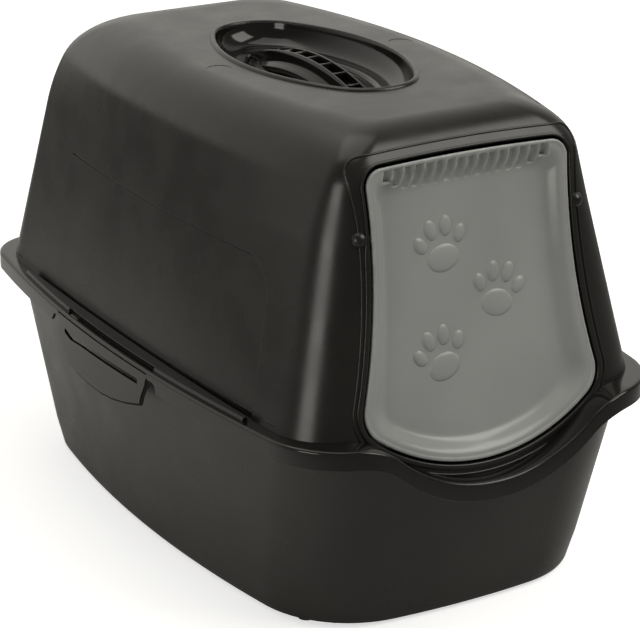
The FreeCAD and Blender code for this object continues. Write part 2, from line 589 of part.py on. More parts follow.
def bar_section():
    """Half of the grip's section: thin land, steep flank, spreading shoulder, flat underside."""
    return [(CHANNEL_HALF + CHANNEL_LAND, 0.0), (FLANK_W, -FLANK_DROP), (BAR_HALF_W, -SHOULDER_DROP),
            (BAR_BASE_W, -BAR_H)]


def make_bar():
    """Arched grip along the recess: a channel open upwards, stiffened by cross ribs."""
    c, d, reach = CHANNEL_HALF, CHANNEL_DEPTH, POCKET_B
    half = bar_section()
    grip = along_arch(half + [mirrored(p) for p in reversed(half)], POCKET_B + 6.0)
    channel = along_arch([(-c, -d), (c, -d), (c, d), (-c, d)], reach)
    crown = along_arch([(-2 * c, -d - 1), (2 * c, -d - 1), (2 * c, -BAR_RIB_DROP),
                        (-2 * c, -BAR_RIB_DROP)], reach + 1)
    pitch = 2 * reach / (BAR_RIBS + 1)
    for i in range(BAR_RIBS):
        y = DISH_Y - reach + pitch * (i + 1) - BAR_RIB_T / 2
        channel = channel.cut(crown.common(slab(y, y + BAR_RIB_T, SADDLE_Z - BAR_HALF_W, HEIGHT)))
    return grip.cut(channel)


def make_handle():
    """Insert of the recess: bed flange under the hood, upright wall, saddle, finger pocket and bar."""
    top, bed, t = HEIGHT - INSERT_DROP, HEIGHT - HOOD_T, INSERT_T
    dish, pocket = (DISH_A, DISH_B, DISH_END_R), (POCKET_A, POCKET_B, POCKET_END_R)
    wall = prism(oval(0, *dish, grow=-INSERT_GAP), SADDLE_Z - t, top)
    flange = prism(oval(0, *dish, grow=BED_W), bed - BED_T, bed)
    cup = prism(oval(0, *pocket, grow=t), SADDLE_Z - POCKET_DEPTH - t, SADDLE_Z)
    cup = round_foot(cup, POCKET_FOOT_R + t)
    inside = round_foot(prism(oval(0, *dish, grow=-INSERT_GAP - t), SADDLE_Z, top + 1), BOWL_R)
    hollow = round_foot(prism(oval(0, *pocket), SADDLE_Z - POCKET_DEPTH, SADDLE_Z + 1), POCKET_FOOT_R)
    body = wall.fuse([flange, cup]).cut([inside, hollow])
    brim = [e for e in body.Edges if all(abs(v.Z - SADDLE_Z) < 0.01 for v in e.Vertexes)
            and abs(e.valueAt((e.FirstParameter + e.LastParameter) / 2).z - SADDLE_Z) < 0.01
            and oval(SADDLE_Z, *pocket).distToShape(Part.Vertex(e.Vertexes[0].Point))[0] < 0.01]
    body = body.makeFillet(POCKET_ROUND, brim)
    return body.fuse(make_bar().common(wall.fuse(cup)))


def round_foot(cup, r):
    """Round the bottom edge of an upright oval solid."""
    z = cup.BoundBox.ZMin
    return cup.makeFillet(r, [e for e in cup.Edges if all(abs(v.Z - z) < 0.01 for v in e.Vertexes)])


if __name__ == "__main__":
    save("tray", make_tray())
    for i, (fx, fy) in enumerate(foot_points()):
        save("foot_%d" % (i + 1), make_foot(fx, fy))
    save("rim_frame", make_frame())
    save("latch_left", make_latch(-1))
    save("latch_right", make_latch(1))
    save("hood", make_hood())
    save("handle", make_handle())
    save("door_flap", make_flap())
    save("pivot_pin_left", make_pin(-1))
    save("pivot_pin_right", make_pin(1))
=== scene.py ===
# %% [markdown]
# # A hooded litter box, piece by piece
# The imported CAD model comes in first. It is a fixed frame: every node already stands in its place,
# in metres, and rides on its body.

# %% Load the frame
import bpy, bmesh, math
from mathutils import Vector, Matrix
from mathutils.bvhtree import BVHTree


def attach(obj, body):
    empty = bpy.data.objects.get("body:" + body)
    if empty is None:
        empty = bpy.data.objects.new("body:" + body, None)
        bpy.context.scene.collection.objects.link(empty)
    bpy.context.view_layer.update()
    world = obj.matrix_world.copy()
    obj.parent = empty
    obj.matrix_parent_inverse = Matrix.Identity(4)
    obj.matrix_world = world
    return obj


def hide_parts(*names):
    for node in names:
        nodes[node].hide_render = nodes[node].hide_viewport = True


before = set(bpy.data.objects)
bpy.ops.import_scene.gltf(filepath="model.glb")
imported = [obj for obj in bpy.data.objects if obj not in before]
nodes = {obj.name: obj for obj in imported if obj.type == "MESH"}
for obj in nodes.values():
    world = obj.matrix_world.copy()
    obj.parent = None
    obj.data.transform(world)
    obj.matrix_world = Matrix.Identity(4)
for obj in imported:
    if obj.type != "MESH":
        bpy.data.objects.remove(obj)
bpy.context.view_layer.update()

MM = 0.001
SIDES = ((-1, "left"), (1, "right"))
scene = bpy.context.scene

# %% [markdown]
# ## The sizes that the surfaces follow
# The CAD part was drawn in millimetres from a few named sizes. The same sizes are repeated here, so
# that a smooth skin made in Blender lands on the solid that it stands for. They are easier to read
# in millimetres; the conversion to metres happens once, where the points are handed to a mesh.

# %% Sizes in millimetres
LENGTH, WIDTH, HEIGHT, RIM_Z = 560.0, 352.0, 374.0, 164.0
DIP_DEPTH, DIP_HALF, DIP_SHOULDER = 45.0, 118.0, 53.0
HOOD_T, TRAY_T, SKIRT_H, SKIRT_T, FLANGE_T = 3.0, 3.0, 14.3, 2.5, 3.0
DISH_Y, DISH_A, DISH_B, DISH_END = -11.0, 60.0, 113.0, 39.0
SADDLE_Z, POCKET_A, POCKET_B, POCKET_END, POCKET_DEPTH = HEIGHT - 17.0, 36.0, 81.0, 16.0, 29.0
PIVOT_Z, PIVOT_DEPTH, FRONT_LEAN = 303.0, 5.0, 0.151
print("rim", WIDTH, "x", LENGTH, "mm, top panel at", HEIGHT)

# %% [markdown]
# ## Plane curves
# Every outline of this box is a chain of arcs that touch smoothly. A corner arc is found from the
# two arcs that it joins: its centre lies at a known distance from both of their centres. The arcs
# are then stepped with a fixed count each, so that the points of one outline match the points of
# the next one and the faces between them stay neat four-sided strips.

# %% Arc helpers
def touching(c1, r1, s1, c2, r2, s2, r, toward):
    """Centre of a circle of radius r touching two others; s is -1 inside, +1 outside."""
    d1, d2, gap = r1 + s1 * r, r2 + s2 * r, c2 - c1
    a = (d1 * d1 - d2 * d2 + gap.length_squared) / (2 * gap.length)
    h = math.sqrt(max(d1 * d1 - a * a, 0.0))
    foot, side = c1 + gap.normalized() * a, Vector((-gap.y, gap.x)).normalized() * h
    return min((foot + side, foot - side), key=lambda p: (p - toward).length)


def toward(c, p, r):
    """Point at distance r from c in the direction of p."""
    return c + (p - c).normalized() * r


def steps(c, p, q, n):
    """n points of the short arc about c, from p up to but not including q."""
    a0 = math.atan2(p.y - c.y, p.x - c.x)
    turn = math.atan2(q.y - c.y, q.x - c.x) - a0
    turn = (turn + math.pi) % (2 * math.pi) - math.pi
    r = (p - c).length
    return [Vector((c.x + r * math.cos(a0 + turn * i / n), c.y + r * math.sin(a0 + turn * i / n)))
            for i in range(n)]


def both_sides(right, last):
    """Close a right half that starts on the middle line with its mirror image."""
    return right + [last] + [Vector((-p.x, p.y)) for p in reversed(right[1:])]


def bowed_ring(half_w, front, back, bow, end_bow, r_front, r_back, n=(36, 18, 60)):
    """Rounded rectangle with bowed sides, from the middle of its front, counter-clockwise."""
    mid, half_l = (front + back) / 2, (back - front) / 2
    rs = (half_l ** 2 + bow ** 2) / (2 * bow)
    re = ((half_w - bow) ** 2 + end_bow ** 2) / (2 * end_bow)
    cs, cf, cb = Vector((half_w - rs, mid)), Vector((0, front + re)), Vector((0, back - re))
    kf = touching(cs, rs, -1, cf, re, -1, r_front, Vector((half_w, front)))
    kb = touching(cs, rs, -1, cb, re, -1, r_back, Vector((half_w, back)))
    f2, f1, b1, b2 = toward(cf, kf, re), toward(cs, kf, rs), toward(cs, kb, rs), toward(cb, kb, re)
    start, last = Vector((0, front)), Vector((0, back))
    right = (steps(cf, start, f2, n[0]) + steps(kf, f2, f1, n[1]) + steps(cs, f1, b1, n[2])
             + steps(kb, b1, b2, n[1]) + steps(cb, b2, last, n[0]))
    return both_sides(right, last)


def oval(a, b, end_r, grow=0.0, n=(24, 40)):
    """Four-arc oval round the middle of the handle recess."""
    side_r = (a * a + b * b - 2 * b * end_r) / (2 * (a - end_r)) + grow
    a, b, end_r = a + grow, b + grow, end_r + grow
    cs, ce = Vector((a - side_r, 0)), Vector((0, b - end_r))
    t = toward(cs, ce, side_r)
    low = Vector((t.x, -t.y))
    right = steps(-ce, Vector((0, -b)), low, n[0]) + steps(cs, low, t, n[1]) + steps(
        ce, t, Vector((0, b)), n[0])
    return [p + Vector((0, DISH_Y)) for p in both_sides(right, Vector((0, b)))]


def at_z(ring, z):
    return [Vector((p.x, p.y, z)) for p in ring]


def dish_row(grow, z):
    return at_z(oval(DISH_A, DISH_B, DISH_END, grow), z)


def quarter(n):
    """Angles of a quarter circle in n even steps."""
    return [math.pi / 2 * i / n for i in range(n + 1)]


print("points round the rim:", len(bowed_ring(176, -280, 280, 21, 2, 60, 46)))

# %% [markdown]
# ## From rows of points to a mesh
# `create_grid` makes a neat sheet of quads; laying its rows on outlines turns the sheet into a wall.
# Where the outlines are closed, the last column is welded to the first. Booleans cut clean
# openings into such a dense sheet, and a sharp-edge mark by angle keeps the moulded edges crisp
# while the large faces shade smoothly.

# %% Mesh helpers
def skin(bm, rows, closed=True, across=False):
    """Sheet of quads through rows of points; closed joins the row ends, across the first and last row."""
    rows = [list(r) + [r[0]] if closed else list(r) for r in rows]
    rows = rows + [rows[0]] if across else rows
    nx, ny = len(rows[0]), len(rows)
    verts = bmesh.ops.create_grid(bm, x_segments=nx - 1, y_segments=ny - 1, size=1.0)["verts"]
    for v, p in zip(verts, [p for row in rows for p in row]):
        v.co = Vector(p) * MM
    bmesh.ops.remove_doubles(bm, verts=verts, dist=1e-7)


def solid(rows, closed=True, across=False):
    """Closed mesh from rows: a sheet with every open boundary filled."""
    bm = bmesh.new()
    skin(bm, rows, closed, across)
    bmesh.ops.holes_fill(bm, edges=[e for e in bm.edges if e.is_boundary], sides=0)
    bmesh.ops.recalc_face_normals(bm, faces=bm.faces)
    return bm


def as_object(bm, name):
    """Object with the mesh of bm, which is used up."""
    me = bpy.data.meshes.new(name)
    bm.to_mesh(me)
    bm.free()
    obj = bpy.data.objects.new(name, me)
    scene.collection.objects.link(obj)
    return obj


def piece(bm, name, material, body, sharp=35):
    """Finish a mesh: outward faces, smooth shading with sharp edges, its material and body."""
    bmesh.ops.recalc_face_normals(bm, faces=bm.faces)
    for f in bm.faces:
        f.smooth = True
    obj = as_object(bm, name)
    obj.data.set_sharp_from_angle(angle=math.radians(sharp))
    obj.data.materials.append(material)
    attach(obj, body)
    return obj


def carve(bm, cutters, operation="DIFFERENCE"):
    """Exact boolean of one mesh with others; the cutters are used up."""
    made = [as_object(m, "work") for m in [bm] + cutters]
    for cutter in made[1:]:
        mod = made[0].modifiers.new("cut", "BOOLEAN")
        mod.object, mod.operation, mod.solver = cutter, operation, "EXACT"
    bpy.context.view_layer.update()
    out = bmesh.new()
    out.from_mesh(made[0].evaluated_get(bpy.context.evaluated_depsgraph_get()).to_mesh())
    for o in made:
        bpy.data.objects.remove(o)
    return out


def joined(parts):
    """Several closed meshes in one."""
    out = bmesh.new()
    for bm in parts:
        me = bpy.data.meshes.new("work")
        bm.to_mesh(me)
        bm.free()
        out.from_mesh(me)
        bpy.data.meshes.remove(me)
    return out


def prism_x(points, x0, x1):
    """Side-view outline (y, z), taken through from x0 to x1."""
    return solid([[Vector((x, p.x, p.y)) for p in points] for x in (x0, x1)])


print("mesh helpers ready")

# %% [markdown]
# ## What the plastic looks like up close
# Everything here is injection-moulded plastic. No moulding is one flat colour: the pellets mix
# unevenly, the mould's skin leaves a fine grain, handling polishes some spots, and the thin edges
# wear lighter. These effects are shared by all the finishes, so they are built once as node groups
# and placed in each material with its own values. The groups only put out colours, masks and
# heights; the Principled shader stays in each material.

# %% Node group helper
def group(name, inputs, outputs):
    """New shader node group with its sockets; returns the tree and its two end nodes."""
    tree = bpy.data.node_groups.new(name, "ShaderNodeTree")
    for title, kind, value in inputs:
        socket = tree.interface.new_socket(title, in_out="INPUT", socket_type="NodeSocket" + kind)
        if value is not None:
            socket.default_value = value
    for title, kind in outputs:
        tree.interface.new_socket(title, in_out="OUTPUT", socket_type="NodeSocket" + kind)
    return tree, tree.nodes.new("NodeGroupInput"), tree.nodes.new("NodeGroupOutput")


def node(tree, kind, links=(), **settings):
    """Add a node, set its properties and feed its inputs; a link is (input, source socket or value)."""
    n = tree.nodes.new("ShaderNode" + kind)
    for key, value in settings.items():
        setattr(n, key, value)
    for key, source in links:
        if isinstance(source, bpy.types.NodeSocket):
            tree.links.new(source, n.inputs[key])
        else:
            n.inputs[key].default_value = source
    return n


def remap(tree, source, low, high, to_low, to_high, **settings):
    """Map Range node: low..high of the source becomes to_low..to_high."""
    return node(tree, "MapRange", [("Value", source), (1, low), (2, high), (3, to_low), (4, to_high)],
                **settings)


print("group helpers ready")

# %% [markdown]
# ## Mould grain
# The grain is a fine noise measured in metres, read from Object coordinates: since every piece
# keeps its origin at the world's, the grain runs on from one piece to the next at one real scale.
# A second, slower noise shifts the colour a little, and a third one the roughness, as on plastic
# that was wiped and handled.

# %% Mould grain group
grain, gi, go = group("mould_grain", [
    ("Vector", "Vector", None), ("Color", "Color", (0.02, 0.02, 0.02, 1)), ("Color Shift", "Float", 0.2),
    ("Roughness", "Float", 0.3), ("Roughness Shift", "Float", 0.05), ("Grain Size mm", "Float", 0.7)],
    [("Color", "Color"), ("Roughness", "Float"), ("Height", "Float")])
cloud = node(grain, "TexNoise", [("Vector", gi.outputs["Vector"]), ("Scale", 14.0), ("Detail", 3.0)])
span = remap(grain, cloud.outputs["Fac"], 0.3, 0.7, -1.0, 1.0)
shift = node(grain, "Math", [(0, span.outputs[0]), (1, gi.outputs["Color Shift"])], operation="MULTIPLY")
factor = node(grain, "Math", [(0, shift.outputs[0]), (1, 1.0)], operation="ADD")
tint = node(grain, "VectorMath", [(0, gi.outputs["Color"]), ("Scale", factor.outputs[0])], operation="SCALE")
grain.links.new(tint.outputs[0], go.inputs["Color"])
wiped = node(grain, "TexNoise", [("Vector", gi.outputs["Vector"]), ("Scale", 31.0), ("Detail", 2.0)])
spread = remap(grain, wiped.outputs["Fac"], 0.3, 0.7, -1.0, 1.0)
rough = node(grain, "Math", [(0, spread.outputs[0]), (1, gi.outputs["Roughness Shift"]),
                             (2, gi.outputs["Roughness"])], operation="MULTIPLY_ADD")
grain.links.new(rough.outputs[0], go.inputs["Roughness"])
per_m = node(grain, "Math", [(0, 1000.0), (1, gi.outputs["Grain Size mm"])], operation="DIVIDE")
fine = node(grain, "TexNoise", [("Vector", gi.outputs["Vector"]), ("Scale", per_m.outputs[0]),
                                ("Detail", 1.0)])
grain.links.new(fine.outputs["Fac"], go.inputs["Height"])
print("mould grain:", len(grain.nodes), "nodes")

# %% [markdown]
# ## Worn and rounded edges
# No moulded edge is truly sharp. Modelling a round on each of the hundreds of edges would cost many
# faces; the Bevel node instead gives the normal that a small round would have, which catches the
# same thin line of light. Where that normal departs from the true one there is an edge, so their
# difference also serves as the mask for wear, broken up by a noise so that it isn't even. On the
# flap the same mask paints a bright highlight along the edges.

# %% Edge wear group
wear_and_highlight_tree, wi, wo = group("edge_wear_and_highlight", [("Vector", "Vector", None), ("Radius", "Float", 0.0006),
                                   ("Amount", "Float", 0.5)], [("Mask", "Float"), ("Normal", "Vector")])
soft = node(wear_and_highlight_tree, "Bevel", [("Radius", wi.outputs["Radius"])], samples=6)
true = node(wear_and_highlight_tree, "NewGeometry")
same = node(wear_and_highlight_tree, "VectorMath", [(0, soft.outputs[0]), (1, true.outputs["Normal"])], operation="DOT_PRODUCT")
edge = remap(wear_and_highlight_tree, same.outputs["Value"], 0.995, 0.8, 0.0, 1.0)
rub = node(wear_and_highlight_tree, "TexNoise", [("Vector", wi.outputs["Vector"]), ("Scale", 120.0), ("Detail", 3.0)])
patchy = remap(wear_and_highlight_tree, rub.outputs["Fac"], 0.35, 0.65, 0.2, 1.0)
mask = node(wear_and_highlight_tree, "Math", [(0, edge.outputs[0]), (1, patchy.outputs[0])], operation="MULTIPLY")
amount = node(wear_and_highlight_tree, "Math", [(0, mask.outputs[0]), (1, wi.outputs["Amount"])], operation="MULTIPLY",
              use_clamp=True)
wear_and_highlight_tree.links.new(amount.outputs[0], wo.inputs["Mask"])
wear_and_highlight_tree.links.new(soft.outputs[0], wo.inputs["Normal"])
print("edge wear:", len(wear_and_highlight_tree.nodes), "nodes")

# %% [markdown]
# ## The finishes
# One function puts the groups round a Principled shader, because the finishes differ only in their
# values. The hood and the tray are a satin brown-black, the rim frame and the latches the same
# plastic out of a polished mould, the handle insert the glossiest and darkest of all, and the flap a
# smoky grey that lets a little light through, with a painted highlight along its edges. The feet are
# dull rubber, the pins plain black, and a near-black matte strip is painted shade in the gap round
# each latch.

# %% Finishes
GRAIN_DEPTH = 0.0002


def finish(name, color, rough, shift=0.2, spread=0.04, grain_mm=0.7, bump=0.08, wear_and_highlight=0.4,
           wear_and_highlight_color=(0.07, 0.065, 0.058), radius=0.0006, transmission=0.0):
    mat = bpy.data.materials.new(name)
    mat.use_nodes = True
    t = mat.node_tree
    b = t.nodes["Principled BSDF"]
    where = node(t, "TexCoord").outputs["Object"]
    g = node(t, "Group", node_tree=grain)
    w = node(t, "Group", node_tree=wear_and_highlight_tree)
    for n, values in ((g, [("Color", (*color, 1)), ("Color Shift", shift), ("Roughness", rough),
                           ("Roughness Shift", spread), ("Grain Size mm", grain_mm)]),
                      (w, [("Radius", radius), ("Amount", wear_and_highlight)])):
        t.links.new(where, n.inputs["Vector"])
        for key, value in values:
            n.inputs[key].default_value = value
    mix = node(t, "Mix", [("Factor", w.outputs["Mask"])], data_type="RGBA")
    t.links.new(g.outputs["Color"], mix.inputs[6])
    mix.inputs[7].default_value = (*wear_and_highlight_color, 1)
    t.links.new(mix.outputs[2], b.inputs["Base Color"])
    t.links.new(g.outputs["Roughness"], b.inputs["Roughness"])
    relief = node(t, "Bump", [("Height", g.outputs["Height"]), ("Normal", w.outputs["Normal"]),
                              ("Strength", bump), ("Distance", GRAIN_DEPTH)])
    t.links.new(relief.outputs[0], b.inputs["Normal"])
    b.inputs["Transmission Weight"].default_value = transmission
    return mat


satin = finish("hood_satin", (0.0130, 0.0122, 0.0106), 0.28)
tray_satin = finish("tray_satin", (0.0175, 0.0160, 0.0138), 0.30, shift=0.25)
gloss = finish("rim_gloss", (0.0120, 0.0110, 0.0098), 0.15, spread=0.03, bump=0.03, wear_and_highlight=0.5)
insert_gloss = finish("handle_gloss", (0.0070, 0.0064, 0.0058), 0.12, spread=0.03, bump=0.02, wear_and_highlight=0.3)
# the flap's near-white edge colour is a painted highlight along its edges, not wear
smoke = finish("flap_smoke", (0.400, 0.415, 0.405), 0.22, shift=0.06, bump=0.03, wear_and_highlight=1.0,
               wear_and_highlight_color=(0.80, 0.82, 0.80), radius=0.0028, transmission=0.05)
rubber = finish("foot_rubber", (0.018, 0.018, 0.017), 0.72, shift=0.3, spread=0.08, grain_mm=1.6, bump=0.4)
pin_black = finish("pin_black", (0.012, 0.012, 0.011), 0.25, wear_and_highlight=0.8)
# painted shade: near-black and matte, for the strip that draws the shadow in the gap round each latch
painted_gap_shade = finish("painted_gap_shade", (0.003, 0.003, 0.003), 0.9, shift=0.1, bump=0.02, wear_and_highlight=0.0)
print("finishes:", len(bpy.data.materials))

# %% [markdown]
# ## The dip of the rim
# Below the door the rim swings down in one long arc with two rounded shoulders. The height of the
# rim's top face at any point is needed by the rim frame, the tray's edge and the foot of the hood.

# %% Height of the rim
DIP_R = (DIP_HALF ** 2 + DIP_DEPTH ** 2) / (2 * DIP_DEPTH) - DIP_SHOULDER
DIP_TURN = toward(Vector((0, DIP_R)), Vector((DIP_HALF, DIP_DEPTH - DIP_SHOULDER)), DIP_R).x


def rim_height(x, y):
    x = abs(x)
    if y > 0 or x >= DIP_HALF:
        return RIM_Z
    if x <= DIP_TURN:
        return RIM_Z - DIP_DEPTH + DIP_R - math.sqrt(DIP_R ** 2 - x * x)
    return RIM_Z - DIP_SHOULDER + math.sqrt(DIP_SHOULDER ** 2 - (DIP_HALF - x) ** 2)


print("lowest point of the rim:", rim_height(0, -280))

# %% [markdown]
# ## The hood
# The hood is a deep bowl upside down: walls that lean in, three different rounds over to a flat
# top, bowed sides and rounded corners. Sculpting would lose the even curvature, so the wall is
# stacked from outlines: one per height, each a rounded rectangle that is narrower as the wall leans
# and as the rounds close in. The inner skin is the same stack moved in by the wall's thickness, and
# one sheet runs up the inside and back down the outside, which closes the foot.

# %% Hood surface
HOOD_W, HOOD_F, HOOD_B = WIDTH / 2 - 16.6, -LENGTH / 2 + 22.4, LENGTH / 2 - 24.0
SIDE_R, FRONT_R, BACK_R = 43.0, 42.0, 80.0
SIDE_LEAN, BACK_LEAN = 0.169, 0.07
CORNER_R, CORNER_SHRINK, BACK_CORNER_R = 51.0, 34.0, 35.0
HOOD_BOW, BOW_GAIN, END_BOW = 7.9, 24.0, 0.6
LOW_Z = 100.0
WALL_ROWS, CAP_ROWS = 30, 24


def wall_and_cap(z, top, r, wall, lean):
    """Distance from the middle to a leaning wall that ends in a round of radius r."""
    a = math.atan(lean)
    zt = top - r + r * math.sin(a)
    if z <= zt:
        return wall - lean * (z - RIM_Z)
    return wall - lean * (zt - RIM_Z) - r * math.cos(a) + math.sqrt(max(r * r - (z - top + r) ** 2, 0.0))


def hood_ring(z, inset=0.0):
    """Outline of the hood at a height, moved in by an inset."""
    top = HEIGHT - inset
    w = wall_and_cap(z, top, SIDE_R - inset, HOOD_W - inset, SIDE_LEAN)
    f = wall_and_cap(z, top, FRONT_R - inset, -HOOD_F - inset, FRONT_LEAN)
    b = wall_and_cap(z, top, BACK_R - inset, HOOD_B - inset, BACK_LEAN)
    k = max((z - RIM_Z) / (HEIGHT - RIM_Z), 0.0)
    r = CORNER_R - inset - CORNER_SHRINK * k ** 2.5
    return at_z(bowed_ring(w, -f, b, HOOD_BOW + BOW_GAIN * k, END_BOW, r, BACK_CORNER_R - inset), z)


def hood_levels(inset, n):
    """Heights of the rounded cap, closer together towards the flat top."""
    top = HEIGHT - inset
    zt = top - (BACK_R - inset) * (1 - math.sin(math.atan(BACK_LEAN)))
    return [zt + (top - zt) * math.sin(a) for a in quarter(n)]


def hood_rows(inset, walls, caps, foot=None):
    """Rows of the leaning wall, from the rim (or a level foot), then those of the cap."""
    zt = hood_levels(inset, 1)[0]
    rows = [[] for _ in range(walls)]
    for a, b in zip(hood_ring(LOW_Z, inset), hood_ring(zt, inset)):
        z = foot or RIM_Z
        for _ in range(4):  # height and place depend on each other
            p = a.lerp(b, (z - LOW_Z) / (zt - LOW_Z))
            z = foot or rim_height(p.x, p.y)
        for i in range(walls):
            rows[i].append(a.lerp(b, (z + (zt - z) * i / walls - LOW_Z) / (zt - LOW_Z)))
    return rows + [hood_ring(z, inset) for z in hood_levels(inset, caps)]


hood_bm = solid(list(reversed(hood_rows(HOOD_T, 16, 16))) + hood_rows(0.0, WALL_ROWS, CAP_ROWS))
print("hood shell:", len(hood_bm.faces), "faces")

# %% [markdown]
# ## The door's outline
# The doorway, the flap, the flap's sunken panel and the ridge round the door are four versions of
# one outline: slightly waisted at the pivots, nearly level on top, and a long arc at the bottom that
# follows the dip. It is drawn in a plane of its own and then leaned back with the front wall.

# %% Door outline
def door_ring(top, bottom, waist, radii, grow=0.0, n=(60, 16, 30, 60, 20, 50)):
    """Door outline in its own plane, x to the right and y up, from the middle of the bottom."""
    top, bottom, waist = top + grow, bottom - grow, waist + grow
    up_r, down_r, top_r, low_r, rt, rb = (radii[0] - grow, radii[1] - grow, *[r + grow for r in radii[2:]])
    up = 2.0  # height of the waist over the pivots
    cu, cd = Vector((waist + up_r, up)), Vector((waist + down_r, up))
    ct, cb = Vector((0, top - top_r)), Vector((0, bottom + low_r))
    a = touching(cu, up_r, 1, ct, top_r, -1, rt, Vector((waist, top)))
    b = touching(cd, down_r, 1, cb, low_r, -1, rb, Vector((waist, bottom + low_r / 2)))
    a1, a2, w = toward(ct, a, top_r), toward(cu, a, up_r), Vector((waist, up))
    b1, b2 = toward(cd, b, down_r), toward(cb, b, low_r)
    right = (steps(cb, Vector((0, bottom)), b2, n[0]) + steps(b, b2, b1, n[1]) + steps(cd, b1, w, n[2])
             + steps(cu, w, a2, n[3]) + steps(a, a2, a1, n[4]) + steps(ct, a1, Vector((0, top)), n[5]))
    return both_sides(right, Vector((0, top)))


MARGIN_TOP, MARGIN_SIDE, MARGIN_LOW = 24.3, 17.3, 19.2
FLAP = dict(top=49.6, bottom=-(PIVOT_Z - RIM_Z + DIP_DEPTH - 8.5), waist=83.8,
            radii=(498.0, 498.0, 1480.0, 149.0, 13.0, 24.0))
PANEL = dict(top=FLAP["top"] - MARGIN_TOP, bottom=FLAP["bottom"] + MARGIN_LOW,
             waist=FLAP["waist"] - MARGIN_SIDE, radii=(996.0, 996.0, 1480.0, 129.8, 9.0, 20.0))
FRAME = dict(top=FLAP["top"] + 9.0, bottom=FLAP["bottom"] - 8.5, waist=FLAP["waist"] + 8.0,
             radii=(190.0, 498.0, 1480.0, 157.0, 13.0, 32.0))
LEAN = Matrix.Rotation(-math.atan(FRONT_LEAN), 3, "X")
AXIS = Vector((0, HOOD_F + FRONT_LEAN * (PIVOT_Z - RIM_Z) + PIVOT_DEPTH, PIVOT_Z))


def at_door(points, depth=0.0):
    """Door-plane points put in place: leaned back with the front wall, at a depth behind the axis."""
    return [AXIS + LEAN @ Vector((p.x, depth, p.y)) for p in points]


print("pivot axis at", [round(v, 1) for v in AXIS])

# %% [markdown]
# ## Openings and sunken fields of the hood
# The doorway, the oval recess of the handle, the two shallow round marks beside it and the large
# sunken panels on the sides are taken out of the finished bowl. Cutting keeps the bowl's own
# curvature right up to each edge, which pushing faces in would not. The panel's floor is the hood's
# own surface a little further in, which runs out into the wall towards the back, and a narrow groove
# draws its front and upper edge.

# %% Cut the hood
def panel_outline(inset=0.0):
    """Side view (y, z) of the sunken panel: open at the foot, two rounded upper corners."""
    y0, y1, zt, r, z0 = -187.0 + inset, 182.0 - inset, HEIGHT - 98.0 - inset, 34.0 - inset, RIM_Z - 20
    f, b = y0 + 9.0, y1 - 9.0
    points = [Vector((y0, z0))]
    points += steps(Vector((f + r, zt - r)), Vector((f, zt - r)), Vector((f + r, zt)), 16)
    points += steps(Vector((b - r, zt - r)), Vector((b - r, zt)), Vector((b, zt - r)), 16)
    return points + [Vector((b, zt - r)), Vector((y1, z0))]


def full_rows(inset):
    return hood_rows(inset, WALL_ROWS, CAP_ROWS, foot=LOW_Z)


def sunk(front, back):
    """Hood surface moved in by one depth at the front and by another at the back."""
    rows = []
    for a, b in zip(full_rows(front), full_rows(back)):
        rows.append([p.lerp(q, min(max((p.y - 20.0) / 150.0, 0.0), 1.0)) for p, q in zip(a, b)])
    return solid(rows)


FRONT_AND_TOP, GROOVE_W = 19, 1.3
panel = carve(prism_x(panel_outline(), -200, 200), [sunk(1.2, -0.3)])
band = panel_outline()[:FRONT_AND_TOP] + list(reversed(panel_outline(GROOVE_W)[:FRONT_AND_TOP]))
groove = carve(prism_x(band, -200, 200), [sunk(2.0, 1.4)])
door = solid([at_door(door_ring(**FLAP, grow=2.0), d) for d in (-60, 40)])
dish = solid([dish_row(0.0, z) for z in (340, 390)])
MARK_X, MARK_UP = 81, 4.75
marks = []
for s in (-1, 1):
    disc = bmesh.new()
    seat = Vector((s * MARK_X, DISH_Y, HEIGHT + MARK_UP))
    bmesh.ops.create_cone(disc, cap_ends=True, segments=64, radius1=9.6 * MM, radius2=10.4 * MM,
                          depth=10 * MM, matrix=Matrix.Translation(seat * MM))
    marks.append(disc)
whole = solid(full_rows(0.0))
lookup = BVHTree.FromBMesh(whole)
whole.free()
hood = piece(carve(hood_bm, [panel, groove, door, dish] + marks), "hood_shell", satin, "hood")
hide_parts("hood")
print("hood:", len(hood.data.polygons), "faces")

# %% [markdown]
# ## Ridges round the doorway
# A raised bead edges the doorway: round beside and above the pivots, a broader flat band below
# them, where it guards the long edge. A second, finer ridge frames the door and flares out to the
# pivots. Each is a small section carried along the door's outline. The outline is flat but the hood
# is not, so every point is first dropped onto the hood's skin with a ray, and the section stands on
# the normal found there.

# %% Ridges round the doorway
def on_front(p):
    """Point and outward normal of the hood's skin in front of a door-plane point."""
    hit, normal, _, _ = lookup.ray_cast(at_door([p], -60)[0] * MM, LEAN @ Vector((0, 1, 0)))
    return hit / MM, normal


def ridge(name, ring, widths, height, square=1.0, sink=1.0, n=12):
    """Bead along a door-plane ring, seated on the hood's skin; square below 1 flattens its top."""
    rows = []
    spots = [on_front(p) for p in ring]
    for i, (c, normal) in enumerate(spots):
        side = (spots[(i + 1) % len(spots)][0] - spots[i - 1][0]).cross(normal).normalized()
        row, w = [], widths[i] / 2
        for k in range(n + 1):
            a = math.pi * k / n
            out = math.copysign(abs(math.cos(a)) ** square, math.cos(a))
            row.append(c + side * w * out + normal * height * math.sin(a) ** square)
        rows.append(row + [c - side * w - normal * sink, c + side * w - normal * sink])
    return piece(solid(rows, True, True), name, satin, "hood", sharp=60)


def broadening(p):
    """0 above the pivots, 1 a little below them."""
    return min(max((2.0 - p.y) / 14.0, 0.0), 1.0)


